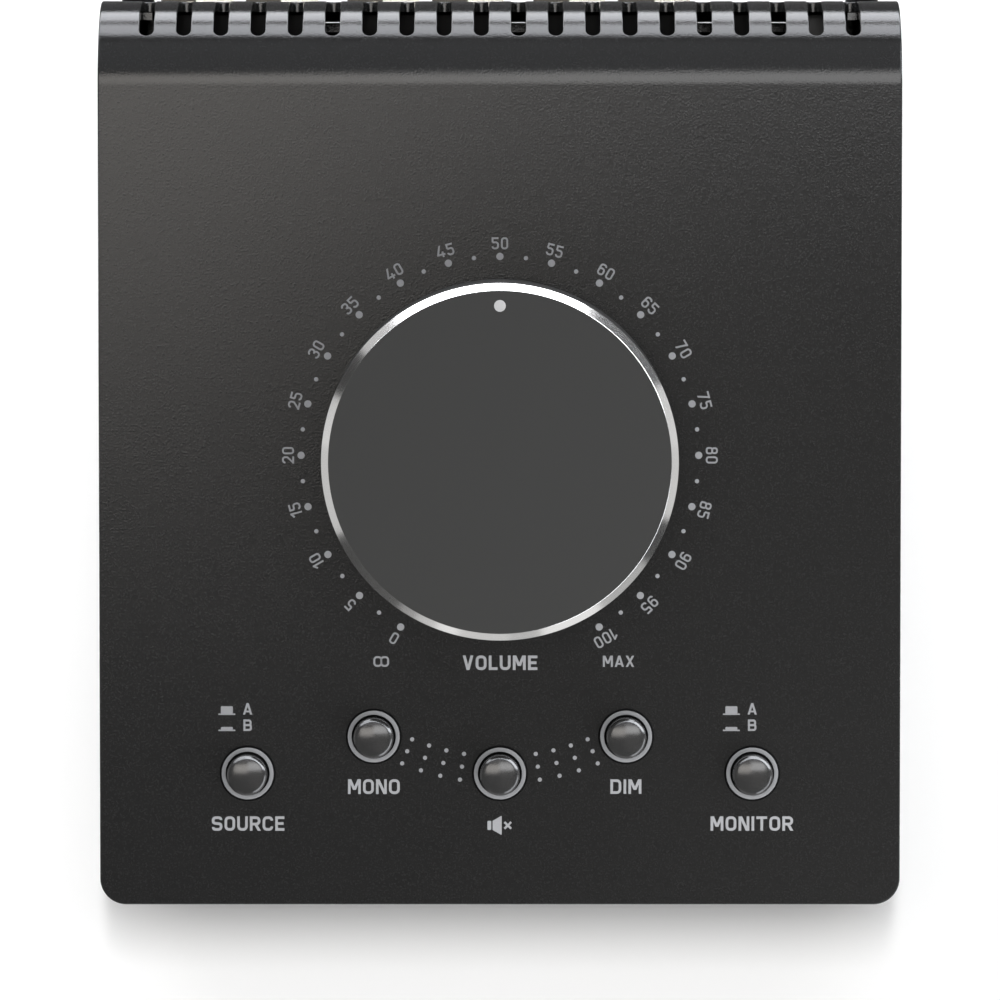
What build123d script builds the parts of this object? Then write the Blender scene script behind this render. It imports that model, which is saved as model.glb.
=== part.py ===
"""Desktop monitor controller: a bent steel cover over a folded frame, one large volume knob,
five latching push buttons, and the connectors in a row along the rear wall.

Whole object: X to the right, Y to the rear, Z up, origin on the desk under the middle of the
outline. Panel coordinates, used for all that the sloping top carries: u to the right, v up the
slope, w out of the panel, origin at the centre of the dial on the panel's outer face.
All sizes are in millimetres."""

from build123d import *
from math import atan2, cos, degrees, hypot, radians, sin, tan
import os

# ---------------------------------------------------------------- cover
case_width = 132.0
panel_slope = 3.36  # degrees, rising to the rear
panel_length = 135.0  # flat part of the cover, front edge to shoulder
shoulder_radius = 14.0
front_height = 32.6  # outer face of the panel at its front edge, above the desk
plate_thickness = 1.8
front_corner_radius = 4.3
rim_round = 0.25
dial_from_front = 74.28  # along the panel

slot_count = 20
slot_from_side = 7.86  # cover's side to the middle of the first slot
slot_width = 2.35
slot_start = 36.0  # degrees round the shoulder from the panel to a slot's upper tip
slot_drop = 1.4  # from the end of the shoulder down the rear wall to a slot's lower tip

# ---------------------------------------------------------------- frame, base and feet
frame_inset = 1.2
frame_wall = 1.2
flange_width = 9.0
rear_flange_width = 7.0
fold_radius = 2.4
shoulder_gap = 0.3
base_thickness = 1.2
base_gap = 0.2
foot_height = 3.0
foot_top_radius = 6.0
foot_bottom_radius = 5.3
foot_from_side = 16.0
foot_from_end = 15.0

# ---------------------------------------------------------------- fasteners
screw_radius = 1.5
screw_head_radius = 2.75
screw_head_height = 1.8
cross_length = 2.6
cross_width = 0.6
cross_depth = 0.9
thread_gap = 0.05
hole_gap = 0.2
stud_length = 6.0
nut_across_flats = 5.5
nut_height = 2.4
side_stud_count = 4  # along each side
stud_from_front = 16.3
stud_from_shoulder = 10.7
front_stud_u = 30.0
base_screw_count = 3  # along each side
base_screw_from_end = 14.5
base_screw_length = 5.0
rear_screw_height = 14.0
rear_screw_length = 5.0

# ---------------------------------------------------------------- boards
board_thickness = 1.6
main_board_side_gap = 6.6  # to the frame's side walls
main_board_depth = 49.8
main_board_lift = 2.2  # board above the base plate
board_rear_gap = 2.0
control_board_past_side = 10.4  # past the outer buttons
control_board_past_front = 8.35  # past the front buttons
control_board_past_pot = 6.0
control_board_depth = 10.0  # from the cover's inner face down to the board
post_radius = 2.5
post_from_side = 6.0  # from the control board's edges
post_from_front = 25.0
post_from_rear = 6.0
spacer_from_side = 5.0  # from the main board's edges
spacer_from_front = 4.0  # front spacers, from the main board's front edge
spacer_to_jacks = 5.8  # rear spacers, in front of the jacks
board_screw_radius = 1.25
board_screw_head_radius = 2.3
board_screw_head_height = 1.3
board_screw_reach = 1.4  # screw below the board, in the spacer
header_width = 22.0
header_depth = 5.0
header_height = 4.6
control_header_v = 6.0
main_header_from_front = 7.0  # from the main board's front edge
ribbon_width = 19.0
ribbon_thickness = 0.9
ribbon_bend = 2.0
capacitor_radius = 3.15
capacitor_height = 7.0
capacitor_from_side = (12.0, 27.0, 39.0)
capacitor_gap = 5.7  # to the jacks behind
chip_length = 8.6
chip_width = 6.2
chip_height = 1.8
chip_from_side = (21.0, 33.0)
chip_from_front = 7.0

# ---------------------------------------------------------------- volume control
pot_width = 16.0
pot_plate = 1.0
pot_cavity_radius = 6.6
pot_floor = 2.0
rotor_radius = 6.2
rotor_thickness = 2.2
rotor_gap = 0.5
bushing_radius = 3.5
bushing_reach = 3.7  # above the panel
shaft_radius = 3.0
shaft_gap = 0.05
shaft_top = 18.0
shaft_flat = 1.5  # distance of the flat from the shaft's axis
shaft_flat_length = 10.0
pot_washer_radius = 6.0
pot_washer_thickness = 0.5
pot_nut_across_flats = 10.0
pot_nut_height = 2.0

# ---------------------------------------------------------------- knob
knob_top_radius = 28.9
knob_draft = 0.15  # wider at the base than at the bevel
knob_top = 22.4
knob_lift = 1.0
knob_chamfer = 1.2
knob_wall = 1.5
knob_roof = 1.6
core_gap = 0.1
core_disc = 2.0
hub_radius = 6.0
hub_bottom = 4.6
rib_count = 8
rib_width = 1.4
rib_height = 9.0
pointer_radius = 1.0
pointer_from_bevel = 2.45
pointer_depth = 0.6
pointer_gap = 0.02

# ---------------------------------------------------------------- push buttons
button_places = {  # name: (u, v)
    "source": (-41.6, -52.52),
    "mono": (-20.8, -46.41),
    "mute": (0.0, -52.52),
    "dim": (20.8, -46.41),
    "monitor": (41.6, -52.52),
}
button_travel = 2.5
button_radius = 3.3
button_reach = 4.85  # crown of the cap above the panel
button_crown = 0.55
button_edge_round = 0.55
button_skirt = 1.5  # cap below the panel's outer face
bezel_gap = 0.3
bezel_wall = 0.4
bezel_flange_radius = 4.3
bezel_flange_height = 0.5
bezel_below = 0.6  # bezel past the cover's inner face
switch_width = 8.5
switch_height = 7.2
switch_roof = 1.0
switch_floor = 0.8
switch_cavity_radius = 2.3
plunger_radius = 1.6
plunger_gap = 0.05
plunger_collar_radius = 2.1
plunger_collar = 0.8
collar_gap = 0.1
plunger_grip = 2.5  # plunger inside the cap
spring_radius = 1.4
spring_wire = 0.15
spring_turns = 4.0
spring_end_gap = 0.05

# ---------------------------------------------------------------- connectors
jack_axis_height = 14.0
jack_pairs = ("monitor_b", "monitor_a", "source_a")  # from the left
jack_pair_gap = 1.2
socket_row_gap = 0.6  # between the rear flanges and the row
jack_width = 13.0
jack_body_depth = 26.0
jack_bush_radius = 4.5
jack_bore_radius = 3.225
jack_bore_length = 29.0
jack_bush_proud = 0.3  # bush past its nut
jack_washer_radius = 6.6
jack_washer_thickness = 0.4
jack_nut_across_flats = 12.0
jack_nut_height = 1.7
mini_jack_width = 8.0
mini_jack_body_depth = 13.0
mini_jack_nose_radius = 2.9
mini_jack_bore_radius = 1.8
mini_jack_bore_length = 14.0
mini_jack_proud = 0.4
inlet_width = 9.0
inlet_body_depth = 12.0
inlet_nose_radius = 4.0
inlet_bore_radius = 2.85
inlet_bore_length = 9.5
inlet_proud = 0.4
inlet_pin_radius = 1.05
inlet_pin_recess = 0.8
inlet_pin_root = 1.5

# ---------------------------------------------------------------- places worked out from the sizes
slope = radians(panel_slope)
jack_reach = jack_washer_thickness + jack_nut_height + jack_bush_proud
case_depth = panel_length * cos(slope) + shoulder_radius * (1 + sin(slope))
front_y = -(case_depth + jack_reach) / 2
rear_y = front_y + case_depth
rear_inner = rear_y - plate_thickness
shoulder_y = rear_y - shoulder_radius
shoulder_z = front_height + panel_length * sin(slope) - shoulder_radius * cos(slope)
shoulder_v = panel_length - dial_from_front
dial_y = front_y + dial_from_front * cos(slope)
dial_z = front_height + dial_from_front * sin(slope)
panel = Plane(origin=(0, dial_y, dial_z), x_dir=(1, 0, 0), z_dir=(0, -sin(slope), cos(slope)))
cover_inner = -plate_thickness  # w of the cover's inner face

frame_half = case_width / 2 - frame_inset
frame_front = front_y + frame_inset
frame_bottom = foot_height + base_thickness
flange_middle = frame_half - (flange_width + frame_wall) / 2
rear_flange_middle = frame_half - (rear_flange_width + frame_wall) / 2
flange_bottom = cover_inner - frame_wall  # w
frame_front_v = (frame_front - dial_y - plate_thickness * sin(slope)) / cos(slope)
front_stud_v = frame_front_v + (flange_width + frame_wall) / 2
bezel_bore = button_radius + bezel_gap
bezel_barrel_radius = bezel_bore + bezel_wall

main_board_top = frame_bottom + main_board_lift + board_thickness
main_board_half = frame_half - frame_wall - main_board_side_gap
main_board_rear = rear_inner - board_rear_gap
main_board_front = main_board_rear - main_board_depth
main_header_y = main_board_front + main_header_from_front
control_board_half = max(u for u, v in button_places.values()) + control_board_past_side
control_board_front = min(v for u, v in button_places.values()) - control_board_past_front  # v
control_board_rear = pot_width / 2 + control_board_past_pot  # v
control_board_top = cover_inner - control_board_depth  # w
control_board_bottom = control_board_top - board_thickness  # w
switch_top = control_board_top + switch_height  # w
collar_top = switch_top - switch_roof - collar_gap  # w
knob_inner_radius = knob_top_radius - knob_wall
knob_base_radius = knob_top_radius + knob_draft
pointer_distance = knob_top_radius - knob_chamfer - pointer_from_bevel
knob_ceiling = knob_top - knob_roof  # w

socket_row = 2 * (frame_half - rear_flange_width - socket_row_gap)
sockets_width = len(jack_pairs) * (2 * jack_width + jack_pair_gap) + mini_jack_width + inlet_width
socket_group_gap = (socket_row - sockets_width) / (len(jack_pairs) + 1)
jack_pair_pitch = 2 * jack_width + jack_pair_gap + socket_group_gap
jack_places = {}  # name: x
for pair_index, pair in enumerate(jack_pairs):
    left_x = (jack_width - socket_row) / 2 + pair_index * jack_pair_pitch
    jack_places[f"{pair}_left_jack"] = left_x
    jack_places[f"{pair}_right_jack"] = left_x + jack_width + jack_pair_gap
inlet_x = (socket_row - inlet_width) / 2
mini_jack_x = inlet_x - inlet_width / 2 - socket_group_gap - mini_jack_width / 2


# ---------------------------------------------------------------- helpers
def on_panel(shape):
    """Carry a shape from panel coordinates to the whole object's."""
    return panel.location * shape


def rod(radius, low, high, u=0.0, v=0.0):
    """Upright cylinder between two heights."""
    return Pos(u, v, low) * Cylinder(radius, high - low, align=(Align.CENTER, Align.CENTER, Align.MIN))


def tube(outer, inner, low, high, u=0.0, v=0.0):
    """Upright tube between two heights."""
    return rod(outer, low, high, u, v) - rod(inner, low, high, u, v)


def rear_rod(radius, front, back, x, z):
    """Cylinder along Y between two depths."""
    turned = Plane(origin=(x, front, z), x_dir=(1, 0, 0), z_dir=(0, 1, 0))
    return turned.location * rod(radius, 0, back - front)


def block(x_range, y_range, z_range):
    """Box from its ranges."""
    size = [high - low for low, high in (x_range, y_range, z_range)]
    corner = [low for low, high in (x_range, y_range, z_range)]
    return Pos(*corner) * Box(*size, align=(Align.MIN, Align.MIN, Align.MIN))


def hex_rod(across_flats, low, high, u=0.0, v=0.0):
    """Upright hexagonal prism between two heights."""
    outline = RegularPolygon(across_flats / 2, 6, major_radius=False)
    return Pos(u, v, low) * extrude(outline, high - low)


def pan_screw(radius, head_radius, head_height, length):
    """Pan-head screw with a cross recess: the head stands on z = 0 and the shank hangs below."""
    head = rod(head_radius, 0, head_height)
    head = fillet(head.edges().group_by(Axis.Z)[-1], min(head_height, head_radius) / 2)
    bar = Box(cross_length, cross_width, 2 * cross_depth)
    recess = Pos(0, 0, head_height) * (bar + Rot(0, 0, 90) * bar)
    return head + rod(radius, -length, 0) - recess


def spread(first, last, count):
    """Evenly spaced values from first to last."""
    return [first + index * (last - first) / (count - 1) for index in range(count)]


def both_sides(places):
    """Mirror a list of places in the X = 0 plane."""
    return [(side * across, along) for side in (-1, 1) for across, along in places]


def face_of(edges):
    """Fill a closed side-view outline drawn in Y and Z."""
    return Plane.YZ * make_face(edges)


def shoulder_point(depth, lean):
    """Side-view point below the cover's outer face where that face leans lean degrees to the rear."""
    reach = shoulder_radius - depth
    return (shoulder_y + reach * sin(radians(lean)), shoulder_z + reach * cos(radians(lean)))


def shoulder_arc(depth, first, last):
    """Arc of the side view, below the cover's outer face, between two leans."""
    middle = (first + last) / 2
    return ThreePointArc(
        shoulder_point(depth, first), shoulder_point(depth, middle), shoulder_point(depth, last)
    )


def panel_point(depth, length):
    """Side-view point below the flat of the cover, length in front of the shoulder."""
    y, z = shoulder_point(depth, -panel_slope)
    return (y - length * cos(slope), z - length * sin(slope))


def outer_depth(point):
    """How far a point lies under the cover's outer face."""
    if point.Z < shoulder_z:
        return rear_y - point.Y
    lean = degrees(atan2(point.Y - shoulder_y, point.Z - shoulder_z))
    if lean > -panel_slope:
        return shoulder_radius - hypot(point.Y - shoulder_y, point.Z - shoulder_z)
    return -panel.to_local_coords(point).Z


# ---------------------------------------------------------------- cover
def bent_plate():
    """The sheet: flat panel, round shoulder and upright rear wall."""
    inner = plate_thickness
    outline = [
        Line(panel_point(0, panel_length), panel_point(0, 0)),
        shoulder_arc(0, -panel_slope, 90),
        Line((rear_y, shoulder_z), (rear_y, foot_height)),
        Line((rear_y, foot_height), (rear_inner, foot_height)),
        Line((rear_inner, foot_height), (rear_inner, shoulder_z)),
        shoulder_arc(inner, 90, -panel_slope),
        Line(panel_point(inner, 0), panel_point(inner, panel_length)),
        Line(panel_point(inner, panel_length), panel_point(0, panel_length)),
    ]
    plate = extrude(face_of(outline), case_width / 2, both=True)
    plate = fillet(plate.edges().filter_by(Axis((0, 0, 0), panel.z_dir)), front_corner_radius)
    bend_lines = plate.edges().filter_by(Axis.X).filter_by(lambda e: e.center().Y > front_corner_radius + front_y)
    rim = [e for e in plate.edges() - bend_lines if abs(outer_depth(e @ 0.5)) < rim_round / 2]
    return fillet(rim, rim_round)


def vent_slot():
    """Tool that cuts one vent slot: round the shoulder and down the rear wall, with round tips."""
    past = plate_thickness / 2
    deep = plate_thickness + past
    half = slot_width / 2
    upper = slot_start - panel_slope + degrees(half / shoulder_radius)
    lower = shoulder_z - slot_drop + half
    outline = [
        shoulder_arc(-past, upper, 90),
        Line((rear_y + past, shoulder_z), (rear_y + past, lower)),
        Line((rear_y + past, lower), (rear_y - deep, lower)),
        Line((rear_y - deep, lower), (rear_y - deep, shoulder_z)),
        shoulder_arc(deep, 90, upper),
        Line(shoulder_point(deep, upper), shoulder_point(-past, upper)),
    ]
    tool = extrude(face_of(outline), half, both=True)
    tip_y, tip_z = shoulder_point(deep, upper)
    tip = Plane(origin=(0, tip_y, tip_z), x_dir=(1, 0, 0), z_dir=(0, sin(radians(upper)), cos(radians(upper))))
    tool += tip.location * rod(half, 0, deep + past)
    return tool + rear_rod(half, rear_y - deep, rear_y + past, 0, lower)


def top_cover():
    """Bent cover plate with its slots and holes."""
    cover = bent_plate()
    slot = vent_slot()
    outer = case_width / 2 - slot_from_side
    cover -= [Pos(x, 0, 0) * slot for x in spread(-outer, outer, slot_count)]
    through = (cover_inner - plate_thickness, plate_thickness)
    holes = [rod(bushing_radius + hole_gap, *through)]
    holes += [rod(bezel_barrel_radius + thread_gap, *through, *place) for place in button_places.values()]
    cover -= [on_panel(hole) for hole in holes]
    wall = (rear_inner - plate_thickness, rear_y + plate_thickness)
    sockets = [(jack_bush_radius + hole_gap, x) for x in jack_places.values()]
    sockets += [(mini_jack_nose_radius + hole_gap, mini_jack_x), (inlet_nose_radius + hole_gap, inlet_x)]
    cover -= [rear_rod(radius, *wall, x, jack_axis_height) for radius, x in sockets]
    screws = both_sides([(rear_flange_middle, rear_screw_height)])
    return cover - [rear_rod(screw_radius + hole_gap, *wall, x, z) for x, z in screws]


def stud_places():
    """Where the studs stand under the panel, in u and v."""
    row = spread(stud_from_front - dial_from_front, shoulder_v - stud_from_shoulder, side_stud_count)
    return both_sides([(flange_middle, v) for v in row] + [(front_stud_u, front_stud_v)])


def cover_studs():
    """Studs welded under the cover, which the frame's flanges hang on."""
    return [on_panel(rod(screw_radius, cover_inner - stud_length, cover_inner, u, v)) for u, v in stud_places()]


def cover_nuts():
    """Nuts that hold the frame's top flanges to the studs."""
    low = flange_bottom - nut_height
    nuts = []
    for u, v in stud_places():
        nut = hex_rod(nut_across_flats, low, flange_bottom, u, v)
        nuts.append(on_panel(nut - rod(screw_radius + thread_gap, low, flange_bottom, u, v)))
    return nuts


# ---------------------------------------------------------------- frame, base and feet
def frame_block(depth):
    """The space inside the cover, filled up to depth under its outer face."""
    start_y, start_z = shoulder_point(depth, -panel_slope)
    front_z = start_z - (start_y - frame_front) * tan(slope)
    outline = [
        Line((frame_front, frame_bottom), (frame_front, front_z)),
        Line((frame_front, front_z), (start_y, start_z)),
        shoulder_arc(depth, -panel_slope, 90),
        Line((rear_y - depth, shoulder_z), (rear_y - depth, frame_bottom)),
        Line((rear_y - depth, frame_bottom), (frame_front, frame_bottom)),
    ]
    body = extrude(face_of(outline), frame_half, both=True)
    return fillet(body.edges().filter_by(Axis.Z).group_by(Axis.Y)[0], fold_radius)


def side_frame():
    """Front and side walls folded from one strip, with flanges along the top, bottom and rear."""
    inside = block(
        (-frame_half + frame_wall, frame_half - frame_wall),
        (frame_front + frame_wall, rear_y + plate_thickness),
        (0, front_height + panel_length),
    )
    inside = fillet(inside.edges().filter_by(Axis.Z).group_by(Axis.Y)[0], fold_radius - frame_wall)
    walls = frame_block(plate_thickness + shoulder_gap) - inside
    top_range = (flange_bottom, cover_inner)
    low_range = (frame_bottom, frame_bottom + frame_wall)
    flanges = on_panel(block((-frame_half, frame_half), (frame_front_v, frame_front_v + flange_width), top_range))
    flanges += block((-frame_half, frame_half), (frame_front, frame_front + flange_width), low_range)
    for side in (-1, 1):
        across = sorted((side * frame_half, side * (frame_half - flange_width)))
        rear_across = sorted((side * frame_half, side * (frame_half - rear_flange_width)))
        upright = (frame_bottom, shoulder_z - frame_wall)
        flanges += on_panel(block(across, (frame_front_v, shoulder_v - frame_wall), top_range))
        flanges += block(across, (frame_front, rear_inner), low_range)
        flanges += block(rear_across, (rear_inner - frame_wall, rear_inner), upright)
    frame = walls + (flanges & frame_block(plate_thickness))
    stud_hole = screw_radius + hole_gap
    frame -= [on_panel(rod(stud_hole, flange_bottom - 1, cover_inner + 1, u, v)) for u, v in stud_places()]
    tapped = screw_radius + thread_gap
    frame -= [rod(tapped, frame_bottom - 1, frame_bottom + frame_wall + 1, x, y) for x, y in base_screw_places()]
    rear_holes = both_sides([(rear_flange_middle, rear_screw_height)])
    return frame - [rear_rod(tapped, rear_inner - frame_wall - 1, rear_y, x, z) for x, z in rear_holes]


def base_screw_places():
    """Where the base plate is screwed to the frame, in x and y."""
    row = spread(frame_front + base_screw_from_end, rear_inner - base_screw_from_end, base_screw_count)
    return both_sides([(flange_middle, y) for y in row])


def base_plate():
    """Flat bottom plate."""
    plate = block((-frame_half, frame_half), (frame_front, rear_inner - base_gap), (foot_height, frame_bottom))
    plate = fillet(plate.edges().filter_by(Axis.Z).group_by(Axis.Y)[0], fold_radius)
    hole = screw_radius + hole_gap
    return plate - [rod(hole, 0, frame_bottom + 1, x, y) for x, y in base_screw_places()]


def base_screws():
    """Screws up through the base plate into the frame's bottom flanges."""
    screw = Rot(180, 0, 0) * pan_screw(screw_radius, screw_head_radius, screw_head_height, base_screw_length)
    return [Pos(x, y, foot_height) * screw for x, y in base_screw_places()]


def rear_screws():
    """Screws through the rear wall into the frame's rear flanges."""
    screw = Rot(-90, 0, 0) * pan_screw(screw_radius, screw_head_radius, screw_head_height, rear_screw_length)
    return [Pos(x, rear_y, z) * screw for x, z in both_sides([(rear_flange_middle, rear_screw_height)])]


def foot(x, y):
    """Tapered rubber foot under the base plate."""
    pad = Cone(foot_bottom_radius, foot_top_radius, foot_height, align=(Align.CENTER, Align.CENTER, Align.MIN))
    pad = fillet(pad.edges().group_by(Axis.Z)[0], foot_height / 6)
    return Pos(x, y, 0) * pad


def feet():
    """The four feet by name."""
    across = frame_half - foot_from_side
    rows = {"front": frame_front + foot_from_end, "rear": rear_inner - foot_from_end}
    sides = {"left": -across, "right": across}
    return {f"foot_{row}_{side}": foot(x, y) for row, y in rows.items() for side, x in sides.items()}


# ---------------------------------------------------------------- boards
def spacer_places():
    """Where the main board stands on the base plate, in x and y."""
    row = (main_board_front + spacer_from_front, rear_inner - jack_body_depth - spacer_to_jacks)
    return both_sides([(main_board_half - spacer_from_side, y) for y in row])


def post_places():
    """Where the control board hangs under the cover, in u and v."""
    row = (control_board_front + post_from_front, control_board_rear - post_from_rear)
    return both_sides([(control_board_half - post_from_side, v) for v in row])


def main_board():
    """Board on the base plate, which carries the connectors."""
    low = main_board_top - board_thickness
    across = (-main_board_half, main_board_half)
    board = block(across, (main_board_front, main_board_rear), (low, main_board_top))
    hole = board_screw_radius + hole_gap
    return board - [rod(hole, low - 1, main_board_top + 1, x, y) for x, y in spacer_places()]


def main_spacers():
    """Threaded spacers between the base plate and the main board."""
    low = frame_bottom
    high = main_board_top - board_thickness
    bore = board_screw_radius + thread_gap
    return [tube(post_radius, bore, low, high, x, y) for x, y in spacer_places()]


def main_board_screws():
    """Screws down through the main board into its spacers."""
    length = board_thickness + board_screw_reach
    screw = pan_screw(board_screw_radius, board_screw_head_radius, board_screw_head_height, length)
    return [Pos(x, y, main_board_top) * screw for x, y in spacer_places()]


def control_board():
    """Board under the panel, which carries the volume control and the switches."""
    across = (-control_board_half, control_board_half)
    thickness = (control_board_bottom, control_board_top)
    board = block(across, (control_board_front, control_board_rear), thickness)
    hole = board_screw_radius + hole_gap
    board -= [rod(hole, control_board_bottom - 1, control_board_top + 1, u, v) for u, v in post_places()]
    return on_panel(board)


def control_posts():
    """Threaded posts between the cover and the control board."""
    bore = board_screw_radius + thread_gap
    return [on_panel(tube(post_radius, bore, control_board_top, cover_inner, u, v)) for u, v in post_places()]


def control_board_screws():
    """Screws up through the control board into its posts."""
    length = board_thickness + board_screw_reach
    screw = pan_screw(board_screw_radius, board_screw_head_radius, board_screw_head_height, length)
    upturned = Rot(180, 0, 0) * screw
    return [on_panel(Pos(u, v, control_board_bottom) * upturned) for u, v in post_places()]


def ribbon_headers():
    """Ribbon sockets, one under the control board and one on the main board."""
    across = (-header_width / 2, header_width / 2)
    upper_v = (control_header_v - header_depth / 2, control_header_v + header_depth / 2)
    upper = block(across, upper_v, (control_board_bottom - header_height, control_board_bottom))
    lower_y = (main_header_y - header_depth / 2, main_header_y + header_depth / 2)
    lower = block(across, lower_y, (main_board_top, main_board_top + header_height))
    return [on_panel(upper), lower]


def ribbon_cable():
    """Flat cable from the upper socket down and across to the lower one."""
    top = panel.from_local_coords(Vector(0, control_header_v, control_board_bottom - header_height))
    bottom_z = main_board_top + header_height
    start_z = top.Z + header_depth * sin(slope) / 2 - ribbon_thickness * sin(slope)
    middle_z = (start_z + bottom_z) / 2
    bend = min(ribbon_bend, (start_z - bottom_z) / 2 * 0.9)
    route = FilletPolyline(
        (0, top.Y, start_z), (0, top.Y, middle_z), (0, main_header_y, middle_z), (0, main_header_y, bottom_z),
        radius=bend,
    )
    section = Plane(origin=route @ 0, x_dir=(1, 0, 0), z_dir=(0, 0, -1)) * Rectangle(ribbon_width, ribbon_thickness)
    return sweep(section, path=route) - ribbon_headers()


def capacitors():
    """Electrolytic capacitors on the main board."""
    y = rear_inner - jack_body_depth - capacitor_gap - capacitor_radius
    places = both_sides([(main_board_half - inset, y) for inset in capacitor_from_side])
    return [rod(capacitor_radius, main_board_top, main_board_top + capacitor_height, *place) for place in places]


def chips():
    """Amplifier chips on the main board."""
    chip = Box(chip_length, chip_width, chip_height, align=(Align.CENTER, Align.CENTER, Align.MIN))
    y = main_board_front + chip_from_front
    places = both_sides([(main_board_half - inset, y) for inset in chip_from_side])
    return [Pos(*place, main_board_top) * chip for place in places]


# ---------------------------------------------------------------- volume control
def pot_case():
    """Housing of the volume control, on the control board, open under its bushing plate."""
    half = pot_width / 2
    high = cover_inner - pot_plate
    case = block((-half, half), (-half, half), (control_board_top, high))
    return on_panel(case - rod(pot_cavity_radius, control_board_top + pot_floor, high))


def pot_bushing():
    """Cover plate of the volume control with the threaded bushing that clamps it to the panel."""
    half = pot_width / 2
    plate = block((-half, half), (-half, half), (cover_inner - pot_plate, cover_inner))
    bushing = plate + rod(bushing_radius, cover_inner, bushing_reach)
    return on_panel(bushing - rod(shaft_radius + shaft_gap, cover_inner - pot_plate, bushing_reach))


def pot_washer():
    """Washer on the panel round the bushing."""
    return on_panel(tube(pot_washer_radius, bushing_radius + thread_gap, 0, pot_washer_thickness))


def pot_nut():
    """Nut that clamps the volume control to the panel."""
    high = pot_washer_thickness + pot_nut_height
    nut = hex_rod(pot_nut_across_flats, pot_washer_thickness, high)
    return on_panel(nut - rod(bushing_radius + thread_gap, pot_washer_thickness, high))


def d_rod(radius, flat, low, high, flat_low):
    """Cylinder with a flat on its rear side from flat_low upwards."""
    return rod(radius, low, high) - block((-radius, radius), (flat, radius + 1), (flat_low, high))


def pot_shaft():
    """Shaft with the wiper disc at its foot and a flat for the knob at its top."""
    disc_high = cover_inner - pot_plate - rotor_gap
    shaft = d_rod(shaft_radius, shaft_flat, disc_high, shaft_top, shaft_top - shaft_flat_length)
    return on_panel(shaft + rod(rotor_radius, disc_high - rotor_thickness, disc_high))


# ---------------------------------------------------------------- knob
def knob_cap():
    """Turned aluminium cup with a bevelled top edge and a pocket for the pointer dot."""
    outline = Polyline(
        (0, 0, knob_top),
        (knob_top_radius - knob_chamfer, 0, knob_top),
        (knob_top_radius, 0, knob_top - knob_chamfer),
        (knob_base_radius, 0, knob_lift),
        (knob_inner_radius, 0, knob_lift),
        (knob_inner_radius, 0, knob_ceiling),
        (0, 0, knob_ceiling),
        close=True,
    )
    cup = revolve(make_face(outline), Axis.Z)
    pocket = rod(pointer_radius + pointer_gap, knob_top - pointer_depth, knob_top + 1, 0, pointer_distance)
    return on_panel(cup - pocket)


def knob_core():
    """Moulded spider inside the cup: a disc, a hub on the shaft's flat, and ribs between them."""
    disc_radius = knob_inner_radius - core_gap
    disc_low = knob_ceiling - core_disc
    core = rod(disc_radius, disc_low, knob_ceiling) + rod(hub_radius, hub_bottom, disc_low)
    rib = block((0, disc_radius - rib_width), (-rib_width / 2, rib_width / 2), (disc_low - rib_height, disc_low))
    core += [Rot(0, 0, index * 360 / rib_count) * rib for index in range(rib_count)]
    gap = shaft_gap
    bore_top = shaft_top + gap
    bore = d_rod(shaft_radius + gap, shaft_flat + gap, hub_bottom, bore_top, shaft_top - shaft_flat_length + gap)
    return on_panel(core - bore)


def pointer_dot():
    """Dot set into the knob's top."""
    return on_panel(rod(pointer_radius, knob_top - pointer_depth, knob_top, 0, pointer_distance))


# ---------------------------------------------------------------- push buttons
def button_cap(u, v):
    """Cap with a shallow crown and a rounded edge, on its plunger."""
    edge = button_reach - button_crown
    side = Line((0, 0, -button_skirt), (button_radius, 0, -button_skirt))
    wall = Line((button_radius, 0, -button_skirt), (button_radius, 0, edge))
    sphere = (button_radius**2 + button_crown**2) / (2 * button_crown)
    half_chord = button_radius / 2
    half_rise = button_reach - sphere + (sphere**2 - half_chord**2) ** 0.5
    crown = ThreePointArc((button_radius, 0, edge), (half_chord, 0, half_rise), (0, 0, button_reach))
    middle = Line((0, 0, button_reach), (0, 0, -button_skirt))
    cap = revolve(make_face([side, wall, crown, middle]), Axis.Z)
    rim = cap.edges().filter_by(Plane.XY).group_by(Axis.Z)[-1]
    cap = fillet(rim, button_edge_round)
    cap -= rod(plunger_radius, -button_skirt, plunger_grip - button_skirt)
    return on_panel(Pos(u, v, 0) * cap)


def plunger(u, v):
    """Plunger of one switch, with the collar that keeps it in."""
    stem = rod(plunger_radius, collar_top, plunger_grip - button_skirt, u, v)
    return on_panel(stem + rod(plunger_collar_radius, collar_top - plunger_collar, collar_top, u, v))


def return_spring(u, v):
    """Coil spring under the plunger's collar."""
    low = control_board_top + switch_floor + spring_wire + spring_end_gap
    high = collar_top - plunger_collar - spring_wire - spring_end_gap
    coil = Helix(pitch=(high - low) / spring_turns, height=high - low, radius=spring_radius)
    section = Plane(origin=coil @ 0, z_dir=coil % 0) * Circle(spring_wire)
    return on_panel(Pos(u, v, low) * sweep(section, path=coil, is_frenet=True))


def switch_bodies():
    """Housings of the five switches, on the control board."""
    half = switch_width / 2
    bodies = []
    for u, v in button_places.values():
        body = block((u - half, u + half), (v - half, v + half), (control_board_top, switch_top))
        body -= rod(switch_cavity_radius, control_board_top + switch_floor, switch_top - switch_roof, u, v)
        body -= rod(plunger_radius + plunger_gap, switch_top - switch_roof, switch_top, u, v)
        bodies.append(on_panel(body))
    return bodies


def button_bezels():
    """Rings pressed into the cover, one round each button."""
    low = cover_inner - bezel_below
    bezels = []
    for u, v in button_places.values():
        bezel = rod(bezel_barrel_radius, low, 0, u, v) + rod(bezel_flange_radius, 0, bezel_flange_height, u, v)
        bezels.append(on_panel(bezel - rod(bezel_bore, low, bezel_flange_height, u, v)))
    return bezels


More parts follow.
